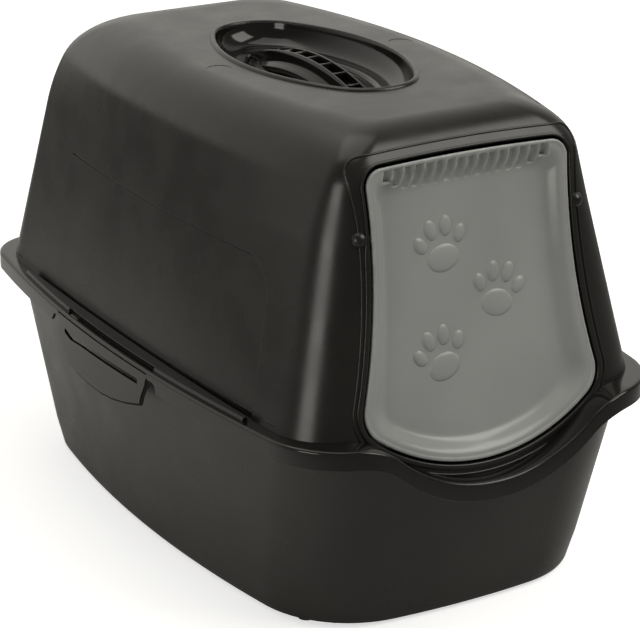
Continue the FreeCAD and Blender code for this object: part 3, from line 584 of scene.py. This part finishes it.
thin, wide = door_ring(**FLAP, grow=3.1), door_ring(**FLAP, grow=4.2)
shares = [broadening(p) for p in thin]
ring = [p.lerp(q, k) for p, q, k in zip(thin, wide, shares)]
ridge("doorway_bead", ring, [2.2 + 2.3 * k for k in shares], 1.45, square=0.7)
frame_ring = door_ring(**FRAME, grow=0.9)
ridge("frame_bead", frame_ring, [1.9] * len(frame_ring), 0.9)
print("points round the doorway:", len(ring))

# %% [markdown]
# ## Pivot bosses
# Where the outer ridge meets the pivots, a small round knob covers the end of each pin. It is a
# ball sunk into the hood's skin; the pins that bridge the gap to the flap come from the CAD model.

# %% Pivot bosses
KNOB_OUT, KNOB_R = 8.0, 6.3
for s, side in SIDES:
    ball = bmesh.new()
    seat = AXIS + LEAN @ Vector((s * (FLAP["waist"] + KNOB_OUT), 0, 0))
    bmesh.ops.create_uvsphere(ball, u_segments=48, v_segments=32, radius=KNOB_R * MM,
                              matrix=Matrix.Translation(seat * MM))
    piece(ball, "pivot_knob_" + side, satin, "hood", sharp=80)
print("knobs at x", round(FLAP["waist"] + KNOB_OUT, 1))

# %% [markdown]
# ## Lip of the handle recess
# A soft raised lip runs round the recess and hides the joint with the glossy insert. Its section is
# a low rounded bar; growing the oval by a few millimetres gives each line of that section.

# %% Lip of the handle recess
section = [(0.0, -4.0), (0.0, 0.6), (0.2, 1.3), (0.7, 1.8), (1.5, 2.0), (2.6, 1.75), (3.5, 1.15), (4.1, 0.3),
           (4.4, -1.0)]
rows = [dish_row(g, HEIGHT + z) for g, z in section]
piece(solid(rows, True, True), "dish_lip", satin, "hood", sharp=70)
print("lip height:", max(z for _, z in section))

# %% [markdown]
# ## The rim frame
# The glossy frame joins hood and tray: a flange that follows the dip below the door, a skirt that
# hangs over the tray's edge, and a kerb inside the hood's foot. Its section goes all the way round,
# so it is one closed sheet, rolled both along the rim and round the section. Only the outer edge is
# truly rounded, as it carries the brightest line of light on the whole box.

# %% Rim frame
def rim_ring(inset):
    return bowed_ring(WIDTH / 2 - inset, -LENGTH / 2 + inset, LENGTH / 2 - inset, 26.0, 2.0,
                      66.0 - inset, 44.0 - inset)


def kerb_ring(inset):
    return [p.xy for p in hood_ring(RIM_Z, inset)]


def dipped(ring, up):
    """Ring of plane points lifted onto the rim's surface, plus a height."""
    return [Vector((p.x, p.y, rim_height(p.x, p.y) + up)) for p in ring]


def between(a, b, k):
    return [p.lerp(q, k) for p, q in zip(a, b)]


KERB_GAP, KERB_T, KERB_UP = 1.2, 2.2, 5.0
edge_r = 2.2
outside = [(0.0, -SKIRT_H + 0.5), (0.0, -8.0)]
outside += [(edge_r * (1 - math.cos(a)), edge_r * (math.sin(a) - 1)) for a in quarter(8)]
rows = [dipped(rim_ring(0.5), -SKIRT_H)] + [dipped(rim_ring(i), z) for i, z in outside]
hole, kerb = kerb_ring(HOOD_T + KERB_GAP + KERB_T), kerb_ring(HOOD_T + KERB_GAP)
under = rim_ring(SKIRT_T)
rows += [dipped(between(rim_ring(edge_r), kerb, k), 0.0) for k in (0.2, 0.5, 0.8, 1.0)]
rows += [dipped(kerb, KERB_UP), dipped(hole, KERB_UP), dipped(hole, -FLANGE_T)]
rows += [dipped(between(hole, under, k), -FLANGE_T) for k in (0.3, 0.6, 1.0)]
rows += [dipped(under, -8.0), dipped(under, -SKIRT_H)]
rim_bm = solid(rows, True, True)
print("rim frame:", len(rim_bm.faces), "faces before it is cut")

# %% [markdown]
# ## Where the latches hang
# On each long side the skirt gives way to a springy latch. The cut beside it ends in two rounded
# notches, the front one flaring downwards, and a slot along the top of the flange frees the latch's
# loop. The notch outline is written once as a side view: the skirt is cut by it, and the latch below
# fills what is left between the notches. The cut reaches a little into the flange, so that a pulled
# latch has room to turn.

# %% Cut the skirt
def strip(s, outer, inner, y0, y1, z0, z1, r=0.0):
    """Bar along one side between two rings of the plan, cut off square at both ends."""
    pairs = sorted([(a, b) for a, b in zip(outer, inner) if s * a.x > 0 and y0 - 3 < a.y < y1 + 3],
                   key=lambda q: q[0].y)
    rows = []
    for i, (a, b) in enumerate(pairs):
        y = y0 if i == 0 else y1 if i == len(pairs) - 1 else min(max(a.y, y0 + 0.01), y1 - 0.01)
        a, b = Vector((a.x, y)), Vector((b.x, y))
        d = (b - a).normalized()
        row = [Vector((*a, z0)), Vector((*a, z1 - r))]
        if r:
            row += [Vector((*(a + d * r * (1 - math.cos(t))), z1 - r + r * math.sin(t)))
                    for t in (math.pi / 8, math.pi / 4, math.pi * 3 / 8, math.pi / 2)]
        rows.append(row + [Vector((*b, z1)), Vector((*b, z0))])
    return solid(rows, True)


def chain(points, r, n=6):
    """Outline with its inner corners rounded: each corner is (y, z, radius share of r)."""
    out, m = [], len(points)
    for i, (y, z, k) in enumerate(points):
        p, a, b = Vector((y, z)), Vector(points[i - 1][:2]), Vector(points[(i + 1) % m][:2])
        if not k:
            out.append(p)
            continue
        u, v = (a - p).normalized(), (b - p).normalized()
        half = u.angle(v) / 2
        cut = min(k * r / math.tan(half), 0.49 * (a - p).length, 0.49 * (b - p).length)
        c = p + (u + v).normalized() * cut / math.cos(half)
        p0, p1 = p + u * cut, p + v * cut
        out += steps(c, p0, p1, n) + [p1]
    return out


NOTCH_TOP, LATCH_TOP, GAP_TOP = 157.6, 160.9, 162.3
SLOT_BACK, SLOT_FRONT = 81.0, -68.0
skirt_gap = [(-79.5, 100, 0), (-79.5, 140, 0.3), (-75.5, NOTCH_TOP, 1), (-63.4, NOTCH_TOP, 1),
             (-63.2, GAP_TOP, 0), (94.9, GAP_TOP, 0), (94.9, NOTCH_TOP, 0.9), (103.6, NOTCH_TOP, 1),
             (116.5, 142, 0.3), (122, 100, 0)]
cuts = []
for s in (-1, 1):
    hang = prism_x(chain(skirt_gap, 5.0), *sorted((s * 140, s * 200)))
    slot = strip(s, rim_ring(3.1), rim_ring(6.4), SLOT_FRONT, SLOT_BACK, RIM_Z - 2.2, RIM_Z + 6.0)
    cuts += [hang, slot]
rim = piece(carve(rim_bm, cuts), "rim_skin", gloss, "hood")
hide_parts("rim_frame")
print("rim frame:", len(rim.data.polygons), "faces")

# %% [markdown]
# ## Rails
# A raised step runs along each long side between the foot of the hood and the rim's edge. Its inner
# face follows the hood, its outer face the rim, so it is swept from pairs of points on both outlines.
# The slot of the latch is taken out of its outer edge too.

# %% Rails
RAIL_UP = 3.5
for s, side in SIDES:
    bar = strip(s, rim_ring(4.0), kerb_ring(-0.6), -187.0, 182.0, RIM_Z - 0.5, RIM_Z + RAIL_UP, r=1.0)
    slot = strip(s, rim_ring(3.0), rim_ring(6.2), SLOT_FRONT, SLOT_BACK, RIM_Z - 3.0, RIM_Z + 6.0)
    piece(carve(bar, [slot]), "rail_" + side, gloss, "hood")
print("rail height:", RAIL_UP)

# %% [markdown]
# ## Latches
# Each latch is a thin plate flush with the skirt: a crescent with a long thin slit near its top,
# which makes the strip above the slit springy. It is cut from a piece of skirt, so that its face has
# exactly the rim's curve: a strip of the same two outlines, kept only inside the latch's side view.
# A shallow step follows its edge; a thin near-black matte strip on the step's floor is painted
# shade: it draws the dark line of the gap round the latch.

# %% Latches
def latch_outline():
    """Side view of the plate: square upper corners, long round belly."""
    lower = [(94.4, 145.0, 1), (93.6, 135.0, 2), (82.0, 124.0, 4), (62.0, 120.2, 5), (40.0, 118.6, 5),
             (15.0, 118.4, 5), (-6.0, 120.8, 5), (-28.4, 125.3, 5), (-52.5, 132.0, 1.2), (-55.5, 139.7, 3)]
    return chain([(-62.9, LATCH_TOP, 0), (94.5, LATCH_TOP, 0)] + lower + [(-62.5, 152.0, 2)], 3.0, 8)


def inner_outline(points, d):
    """The same outline drawn in by d."""
    out = []
    for i, p in enumerate(points):
        along = (points[(i + 1) % len(points)] - points[i - 1]).normalized()
        out.append(p + d * Vector((along.y, -along.x)))
    return out


STEP_W, STEP_DEEP, SHADE_STRIP_FACE = 1.9, 1.7, 1.1
slit = chain([(-49.0, 148.8, 0.3), (-49.0, 153.3, 0.3), (13.0, 152.0, 0), (50.0, 151.2, 0), (70.0, 149.8, 1),
              (81.5, 152.2, 1), (82.0, 148.0, 1), (70.0, 145.3, 1), (50.0, 146.8, 0), (13.0, 147.5, 0)], 1.4)
for s, side in SIDES:
    span = sorted((s * 140, s * 200))
    shape = latch_outline()
    core = inner_outline(shape, STEP_W)
    plate = strip(s, rim_ring(0.0), rim_ring(SKIRT_T), -75.0, 100.0, 112.0, LATCH_TOP)
    plate = carve(plate, [prism_x(shape, *span)], "INTERSECT")
    step = strip(s, rim_ring(-1.0), rim_ring(STEP_DEEP), -76.0, 101.0, 111.0, 157.0)
    step = carve(step, [prism_x(core, *span)])
    plate = carve(plate, [step, prism_x(slit, *span)])
    # painted shade: a near-black matte strip on the step's floor stands for the shadow in the gap
    gap_shade_strip = strip(s, rim_ring(SHADE_STRIP_FACE), rim_ring(STEP_DEEP), -76.0, 101.0, 111.0, 156.9)
    gap_shade_strip = carve(gap_shade_strip, [prism_x(shape, *span)], "INTERSECT")
    gap_shade_strip = carve(gap_shade_strip, [prism_x(core, *span)])
    piece(gap_shade_strip, "latch_painted_shade_" + side, painted_gap_shade, "latch_" + side)
    latch = piece(plate, "latch_plate_" + side, gloss, "latch_" + side)
    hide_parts("latch_" + side)
    print(latch.name, len(latch.data.polygons), "faces")

# %% [markdown]
# ## The tray
# The tray is a deep pan whose walls lean out from a softly creased foot. It is stacked from outlines
# like the hood; its upper edge follows the dip of the rim and turns out into a small lip that hides
# under the frame's skirt. On each long side a bar sits behind the latch and catches it.

# %% Tray
FOOT_Z, CREASE_Z, LIP_OUT, LIP_DROP, EDGE_GAP = 3.0, 28.0, 3.2, 3.0, 0.3


def tray_ring(z, inset=0.0):
    """Outline of the tray; a tuple is half width and length, side and end bow, two corner radii."""
    base = (145.0, 238.0, 26.0, 11.0, 79.0, 70.0)
    crease = (148.0, 242.5, 21.0, 11.0, 77.0, 73.0)
    rim = (WIDTH / 2 - 10.8, LENGTH / 2 - 9.8, 27.0, 2.5, 68.0, 56.0)
    if z <= CREASE_Z:
        k, low, high = (z - FOOT_Z) / (CREASE_Z - FOOT_Z), base, crease
    else:
        k, low, high = (z - CREASE_Z) / (RIM_Z - CREASE_Z), crease, rim
    w, half, bow, end, rf, rb = [a + k * (b - a) for a, b in zip(low, high)]
    return at_z(bowed_ring(w - inset, -half + inset, half - inset, bow, end, rf - inset, rb - inset), z)


def tray_wall(inset, shares, drop=0.0):
    """Rows from the crease up to the edge under the rim, at shares of the height."""
    rows = [[] for _ in shares]
    for a, b in zip(tray_ring(CREASE_Z, inset), tray_ring(RIM_Z, inset)):
        z = RIM_Z
        for _ in range(4):
            p = a.lerp(b, (z - CREASE_Z) / (RIM_Z - CREASE_Z))
            z = rim_height(p.x, p.y) - FLANGE_T - EDGE_GAP - drop
        for row, k in zip(rows, shares):
            row.append(a.lerp(b, (z - CREASE_Z) * k / (RIM_Z - CREASE_Z)))
    return rows


low = [(FOOT_Z, 2.2), (3.3, 1.2), (4.0, 0.4)]
low += [(z, 0.0) for z in (5.5, 9.0, 14.0, 20.0, 25.0, CREASE_Z)]
outer = [tray_ring(z, i) for z, i in low] + tray_wall(0.0, [i / 20 for i in range(1, 21)], drop=LIP_DROP)
outer += tray_wall(-LIP_OUT, [1.0], drop=LIP_DROP) + tray_wall(-LIP_OUT, [1.0])
inner = [tray_ring(z, TRAY_T) for z in (6.0, 17.0, CREASE_Z)]
inner += tray_wall(TRAY_T, [i / 14 for i in range(1, 15)])
parts = [solid(outer + list(reversed(inner)))]
for s in (-1, 1):
    parts.append(strip(s, rim_ring(3.5), [p.xy for p in tray_ring(156.0, 1.5)], -47.5, 75.5, 153.4, 159.0))
tray = piece(joined(parts), "tray_shell", tray_satin, "tray", sharp=25)
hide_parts("tray")
print("tray:", len(tray.data.polygons), "faces")

# %% [markdown]
# ## The door flap
# The flap is a shallow smoky dish: a thin bright edge, a margin that sweeps in on all sides like a
# flat S and a panel set back behind it. The dish is one sheet between door outlines; the row of
# short fluted grooves in its upper margin is cut with sixteen round bars laid down the slope. The
# outer two at each end are shorter, so that they don't cut through the sheet near the corner.

# %% Flap
DISH, FLAP_T, EDGE_W, EDGE_DEEP = 10.5, 3.0, 2.4, 2.4


def flap_sheet():
    y = -PIVOT_DEPTH

    def at(spec, grow, d):
        return at_door(door_ring(**spec, grow=grow), y + d)
    rows = [at(PANEL, 1.5, DISH + FLAP_T), at(FLAP, 0.0, EDGE_DEEP), at(FLAP, 0.0, 0.7),
            at(FLAP, -0.15, 0.25), at(FLAP, -0.5, 0.0), at(FLAP, -1.9, 0.0), at(FLAP, -EDGE_W, 0.25)]
    a, b = door_ring(**FLAP, grow=-2.8), door_ring(**PANEL)
    for i in range(25):
        k = i / 24
        sweep = k - 0.15 * math.sin(2 * math.pi * k)
        rows.append(at_door(between(a, b, k), y + 0.6 + (DISH - 0.6) * sweep))
    return solid(rows)


def flutes(count=16, r=4.3, sink=2.3, end=13.0):
    """Round bars along the slope of the upper margin."""
    run = MARGIN_TOP - EDGE_W
    slope, normal = Vector((0, DISH, -run)).normalized(), Vector((0, -run, -DISH)).normalized()
    first = -FLAP["waist"] + end
    turn = (LEAN @ slope).to_track_quat("Z", "Y").to_matrix().to_4x4()
    bars = []
    for i in range(count):
        reach = (run - 3.4) * (0.56, 0.84, 1.0)[min(i, count - 1 - i, 2)]
        start = Vector((first - 2 * first / count * (i + 0.5), -PIVOT_DEPTH, FLAP["top"] - EDGE_W))
        middle = AXIS + LEAN @ (start + slope * (1.5 + reach / 2) + normal * (r - sink))
        bar = bmesh.new()
        bmesh.ops.create_cone(bar, cap_ends=True, segments=72, radius1=r * MM, radius2=r * MM,
                              depth=reach * MM, matrix=Matrix.Translation(middle * MM) @ turn)
        bars.append(bar)
    return bars


flap = piece(carve(flap_sheet(), [joined(flutes())]), "flap_dish", smoke, "flap", sharp=30)
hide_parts("door_flap")
print("flap:", len(flap.data.polygons), "faces")

# %% [markdown]
# ## Paw prints on the flap
# The panel carries a small raised ornament: three paw prints that walk up it. A paw is one broad pad
# and four toes; each is a ball pressed flat, turned, and sunk so that only its crown stands out of
# the panel, like the raised lines of a moulded decoration.

# %% Paw prints
PAD_HALF, PAD_SUNK = 2.0, 0.25
PAW = ((0, -5.5, 8.5, 6.4, 0), (-10.5, 3.2, 3.1, 4.4, -28), (-4.0, 8.6, 3.2, 4.9, -9),
       (4.0, 8.6, 3.2, 4.9, 9), (10.5, 3.2, 3.1, 4.4, 28))


def pad(bm, x, y, a, b, turn):
    """Flattened ball on the panel, with half axes a and b, turned in the door's plane."""
    depth = -PIVOT_DEPTH + DISH + PAD_SUNK
    place = Matrix.Translation((AXIS + LEAN @ Vector((x, depth, y))) * MM) @ LEAN.to_4x4()
    place = place @ Matrix.Rotation(turn, 4, "Y") @ Matrix.Diagonal((a * MM, PAD_HALF * MM, b * MM, 1))
    bmesh.ops.create_uvsphere(bm, u_segments=40, v_segments=24, radius=1.0, matrix=place)


def paw(bm, x, y, size, degrees):
    turn = math.radians(degrees)
    for dx, dy, a, b, t in PAW:
        px = x + size * (dx * math.cos(turn) + dy * math.sin(turn))
        py = y + size * (-dx * math.sin(turn) + dy * math.cos(turn))
        pad(bm, px, py, a * size, b * size, turn + math.radians(t))


prints = bmesh.new()
for x, y, size, degrees in ((-27, -96, 1.6, -14), (25, -57, 1.6, 12), (-21, -17, 1.6, -8)):
    paw(prints, x, y, size, degrees)
piece(prints, "paw_prints", smoke, "flap", sharp=80)
print("paw prints: 3")

# %% [markdown]
# ## The handle insert
# Inside the lip a glossy insert sweeps down like a bowl to a level saddle, and from there into a
# deep pocket for the fingers. All of it is one stack of ovals: each round is a quarter circle walked
# in small steps, where one step changes both the height and how far the oval is drawn in. Even
# steps matter here, because a mirror-like finish shows every flat.

# %% Insert of the recess
def pocket_row(grow, z):
    return at_z(oval(POCKET_A, POCKET_B, POCKET_END, grow), z)


BOWL_RUN, SHOULDER_R, FLOOR_R = 15.7, 5.0, 14.0
floor_z, top = SADDLE_Z - POCKET_DEPTH, HEIGHT + 0.9
rows = [dish_row(-0.05, SADDLE_Z - 2.6), dish_row(-0.05, top - 0.5)]
rows += [dish_row(-0.2 - BOWL_RUN * (1 - math.cos(a)), SADDLE_Z + (top - SADDLE_Z) * (1 - math.sin(a)))
         for a in quarter(14)]
rows += [pocket_row(SHOULDER_R - SHOULDER_R * math.sin(a), SADDLE_Z - SHOULDER_R * (1 - math.cos(a)))
         for a in quarter(10)]
rows += [pocket_row(0.0, SADDLE_Z - 10.0)]
rows += [pocket_row(-FLOOR_R * (1 - math.cos(a)), floor_z + FLOOR_R * (1 - math.sin(a)))
         for a in quarter(12)]
rows += [pocket_row(-FLOOR_R, floor_z - 2.6), pocket_row(-2.0, floor_z + 5.0),
         pocket_row(2.6, floor_z + 16.0), pocket_row(2.6, SADDLE_Z - 6.0)]
insert = piece(solid(rows), "handle_insert", insert_gloss, "hood", sharp=50)
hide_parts("handle")
print("insert:", len(insert.data.polygons), "faces")

# %% [markdown]
# ## The carrying bar
# The bar arches along the recess. Its section is a trough, open upwards: two thin lands, steep
# flanks that spread into shoulders, and seven cross ribs that stiffen it. The section is carried
# along the arch in many stations; at a rib the trough's floor comes up almost to the lands, so the
# ribs need no pieces of their own.

# %% Carrying bar
def bar_section(deep):
    """Right half of the section as (x, drop below the crown)."""
    c = 5.6  # half width of the trough
    return [(c - 0.5, deep), (c - 0.1, max(deep - 0.4, 0.1)), (c, min(0.6, deep)), (c + 0.25, 0.1),
            (c + 0.7, 0.0), (6.8, 0.0), (7.25, 0.15), (7.6, 0.7), (8.2, 3.0), (8.9, 5.7), (9.5, 8.0),
            (10.1, 9.1), (11.2, 9.9), (13.2, 11.2), (14.5, 12.0), (15.0, 12.8), (14.9, 13.8), (14.0, 16.5)]


def stations(reach=88.0, end=81.0, ribs=7, deep=7.0):
    """Places along the bar with the trough's depth there."""
    pitch, n = 2 * end / (ribs + 1), 110
    where = [(-reach + 2 * reach * i / n) for i in range(n + 1)]
    spots = [(y, deep) for y in where if abs(y) < end - 0.6]
    spots += [(y, 0.3) for y in where if abs(y) > end + 0.6]
    for e in (-1, 1):
        spots += [(e * (end - 0.4), deep), (e * (end - 0.1), 0.6), (e * (end + 0.3), 0.3)]
    for k in range(ribs):
        y = -end + pitch * (k + 1)
        spots = [p for p in spots if abs(p[0] - y) > 1.4]
        spots += [(y + d, z) for d, z in ((-0.95, deep), (-0.8, 1.2), (-0.5, 0.85), (0.5, 0.85), (0.8, 1.2),
                                          (0.95, deep))]
    return sorted(spots)


crown, arch = HEIGHT - 0.6, 234.0
rows = []
for y, deep in stations():
    a = math.asin(y / arch)
    half = [Vector((x, DISH_Y + (arch - d) * math.sin(a), crown - arch + (arch - d) * math.cos(a)))
            for x, d in bar_section(deep)]
    rows.append(half + [Vector((-p.x, p.y, p.z)) for p in reversed(half)])
bar = piece(solid(rows), "carry_bar", insert_gloss, "hood", sharp=40)
print("bar:", len(rows), "stations")

# %% [markdown]
# ## Feet and pins
# The rubber feet and the pivot pins are plain turned shapes that the CAD model already gives
# exactly, so they keep their meshes and only get their finishes.

# %% Small CAD parts keep their shape
for title, item in nodes.items():
    finish_of = rubber if title.startswith("foot") else pin_black if title.startswith("pivot") else None
    if finish_of:
        item.data.materials.clear()
        item.data.materials.append(finish_of)
print("feet:", sum(n.startswith("foot") for n in nodes), "pins:", sum(n.startswith("pivot") for n in nodes))

# %% [markdown]
# ## Studio
# The box is nearly black and satin, so its shape is told by what it mirrors rather than by the lamps.
# The surroundings are bright behind and dim on the viewer's side. The white background is only what
# the camera sees; mirrored rays meet the dimmer room, as black plastic would look grey in a white
# one, and the light that falls on the box stays plain.

# %% World
world = bpy.data.worlds.new("studio")
scene.world = world
world.use_nodes = True
t = world.node_tree
t.nodes.clear()
facing = node(t, "SeparateXYZ", [(0, node(t, "TexCoord").outputs["Generated"])])
back = remap(t, facing.outputs["Y"], 0.0, 0.75, 0.15, 0.78, interpolation_type="SMOOTHSTEP")
room = node(t, "Background", [("Color", (1.0, 0.975, 0.91, 1)), ("Strength", back.outputs[0])])
white = node(t, "Background", [("Strength", 1.0)])
path = node(t, "LightPath")
seen = node(t, "MixShader", [(0, path.outputs["Is Camera Ray"])])
t.links.new(room.outputs[0], seen.inputs[1])
t.links.new(white.outputs[0], seen.inputs[2])
t.links.new(seen.outputs[0], t.nodes.new("ShaderNodeOutputWorld").inputs[0])
print("world nodes:", len(t.nodes))

# %% [markdown]
# ## Floor
# A plain floor catches the box's shadow. To the camera it is nearly white; in what the box mirrors
# it has a painted pool of light: pale round a point behind the box and darker further off.

# %% Floor
FLOOR_HALF = 6.0
bm = bmesh.new()
bmesh.ops.create_grid(bm, x_segments=1, y_segments=1, size=FLOOR_HALF)
floor = as_object(bm, "floor")
mat = bpy.data.materials.new("floor_pale")
mat.use_nodes = True
t = mat.node_tree
cloth = t.nodes["Principled BSDF"]
cloth.inputs["Roughness"].default_value = 0.8
cloth.inputs["Specular IOR Level"].default_value = 0.1
here = node(t, "TexCoord").outputs["Object"]
dust = node(t, "TexNoise", [("Vector", here), ("Scale", 3.0), ("Detail", 2.0)])
away = node(t, "VectorMath", [(0, here), (1, (-0.15, 0.45, 0.0))], operation="DISTANCE")
# painted pool of light: in mirrored and bounced light the floor is pale near the box and darkens with
# distance
painted_light_pool = remap(t, away.outputs["Value"], 0.5, 1.15, 0.85, 0.20, interpolation_type="SMOOTHSTEP")
pale = node(t, "Math", [(0, dust.outputs["Fac"]), (1, 0.06), (2, painted_light_pool.outputs[0])], operation="MULTIPLY_ADD")
path = node(t, "LightPath")
tone = node(t, "Mix", [("Factor", path.outputs["Is Camera Ray"])], data_type="RGBA")
t.links.new(pale.outputs[0], tone.inputs[6])
tone.inputs[7].default_value = (0.86, 0.86, 0.86, 1)
t.links.new(tone.outputs[2], cloth.inputs["Base Color"])
glow = node(t, "Math", [(0, path.outputs["Is Camera Ray"]), (1, 0.63)], operation="MULTIPLY")
cloth.inputs["Emission Color"].default_value = (1, 1, 1, 1)
t.links.new(glow.outputs[0], cloth.inputs["Emission Strength"])
floor.data.materials.append(mat)
print("floor:", 2 * FLOOR_HALF, "m across")

# %% [markdown]
# ## Lamps
# Three large area lamps in one slightly warm white, as a large lamp gives soft edges and a plain
# mirror image: one overhead, one from the upper right in front, and a low one on the left that draws
# the soft line down the rounded front corner.

# %% Lamps
def soft_lamp(name, place, width, height, power, aim=(0, 0, 0.2)):
    data = bpy.data.lights.new(name, "AREA")
    data.shape, data.size, data.size_y, data.energy = "RECTANGLE", width, height, power
    data.color = (1.0, 0.975, 0.92)
    obj = bpy.data.objects.new(name, data)
    scene.collection.objects.link(obj)
    obj.location = place
    obj.rotation_euler = (Vector(aim) - Vector(place)).to_track_quat("-Z", "Y").to_euler()


soft_lamp("lamp_top", (-0.2, 0.3, 2.4), 1.8, 1.8, 12)
soft_lamp("lamp_corner", (-2.15, -0.92, 0.45), 0.9, 1.1, 11)
soft_lamp("lamp_key", (1.5, -1.5, 2.2), 2.0, 2.0, 42)

# %% [markdown]
# ## Camera
# A long lens from the front left and a little above keeps the box's edges almost parallel. A small
# shift moves the box within the frame.

# %% Camera
cam = bpy.data.objects.new("camera", bpy.data.cameras.new("camera"))
scene.collection.objects.link(cam)
cam.location = (-0.9854, -1.6871, 0.8780)
cam.rotation_euler = (Vector((0, 0, 0.190)) - cam.location).to_track_quat("-Z", "Y").to_euler()
cam.data.sensor_width = 36.0
cam.data.lens = 145.839375
cam.data.shift_x, cam.data.shift_y = 0.024375, -0.06015625
scene.camera = cam
scene.view_settings.view_transform = "Standard"
print("lens:", round(cam.data.lens, 1), "mm")
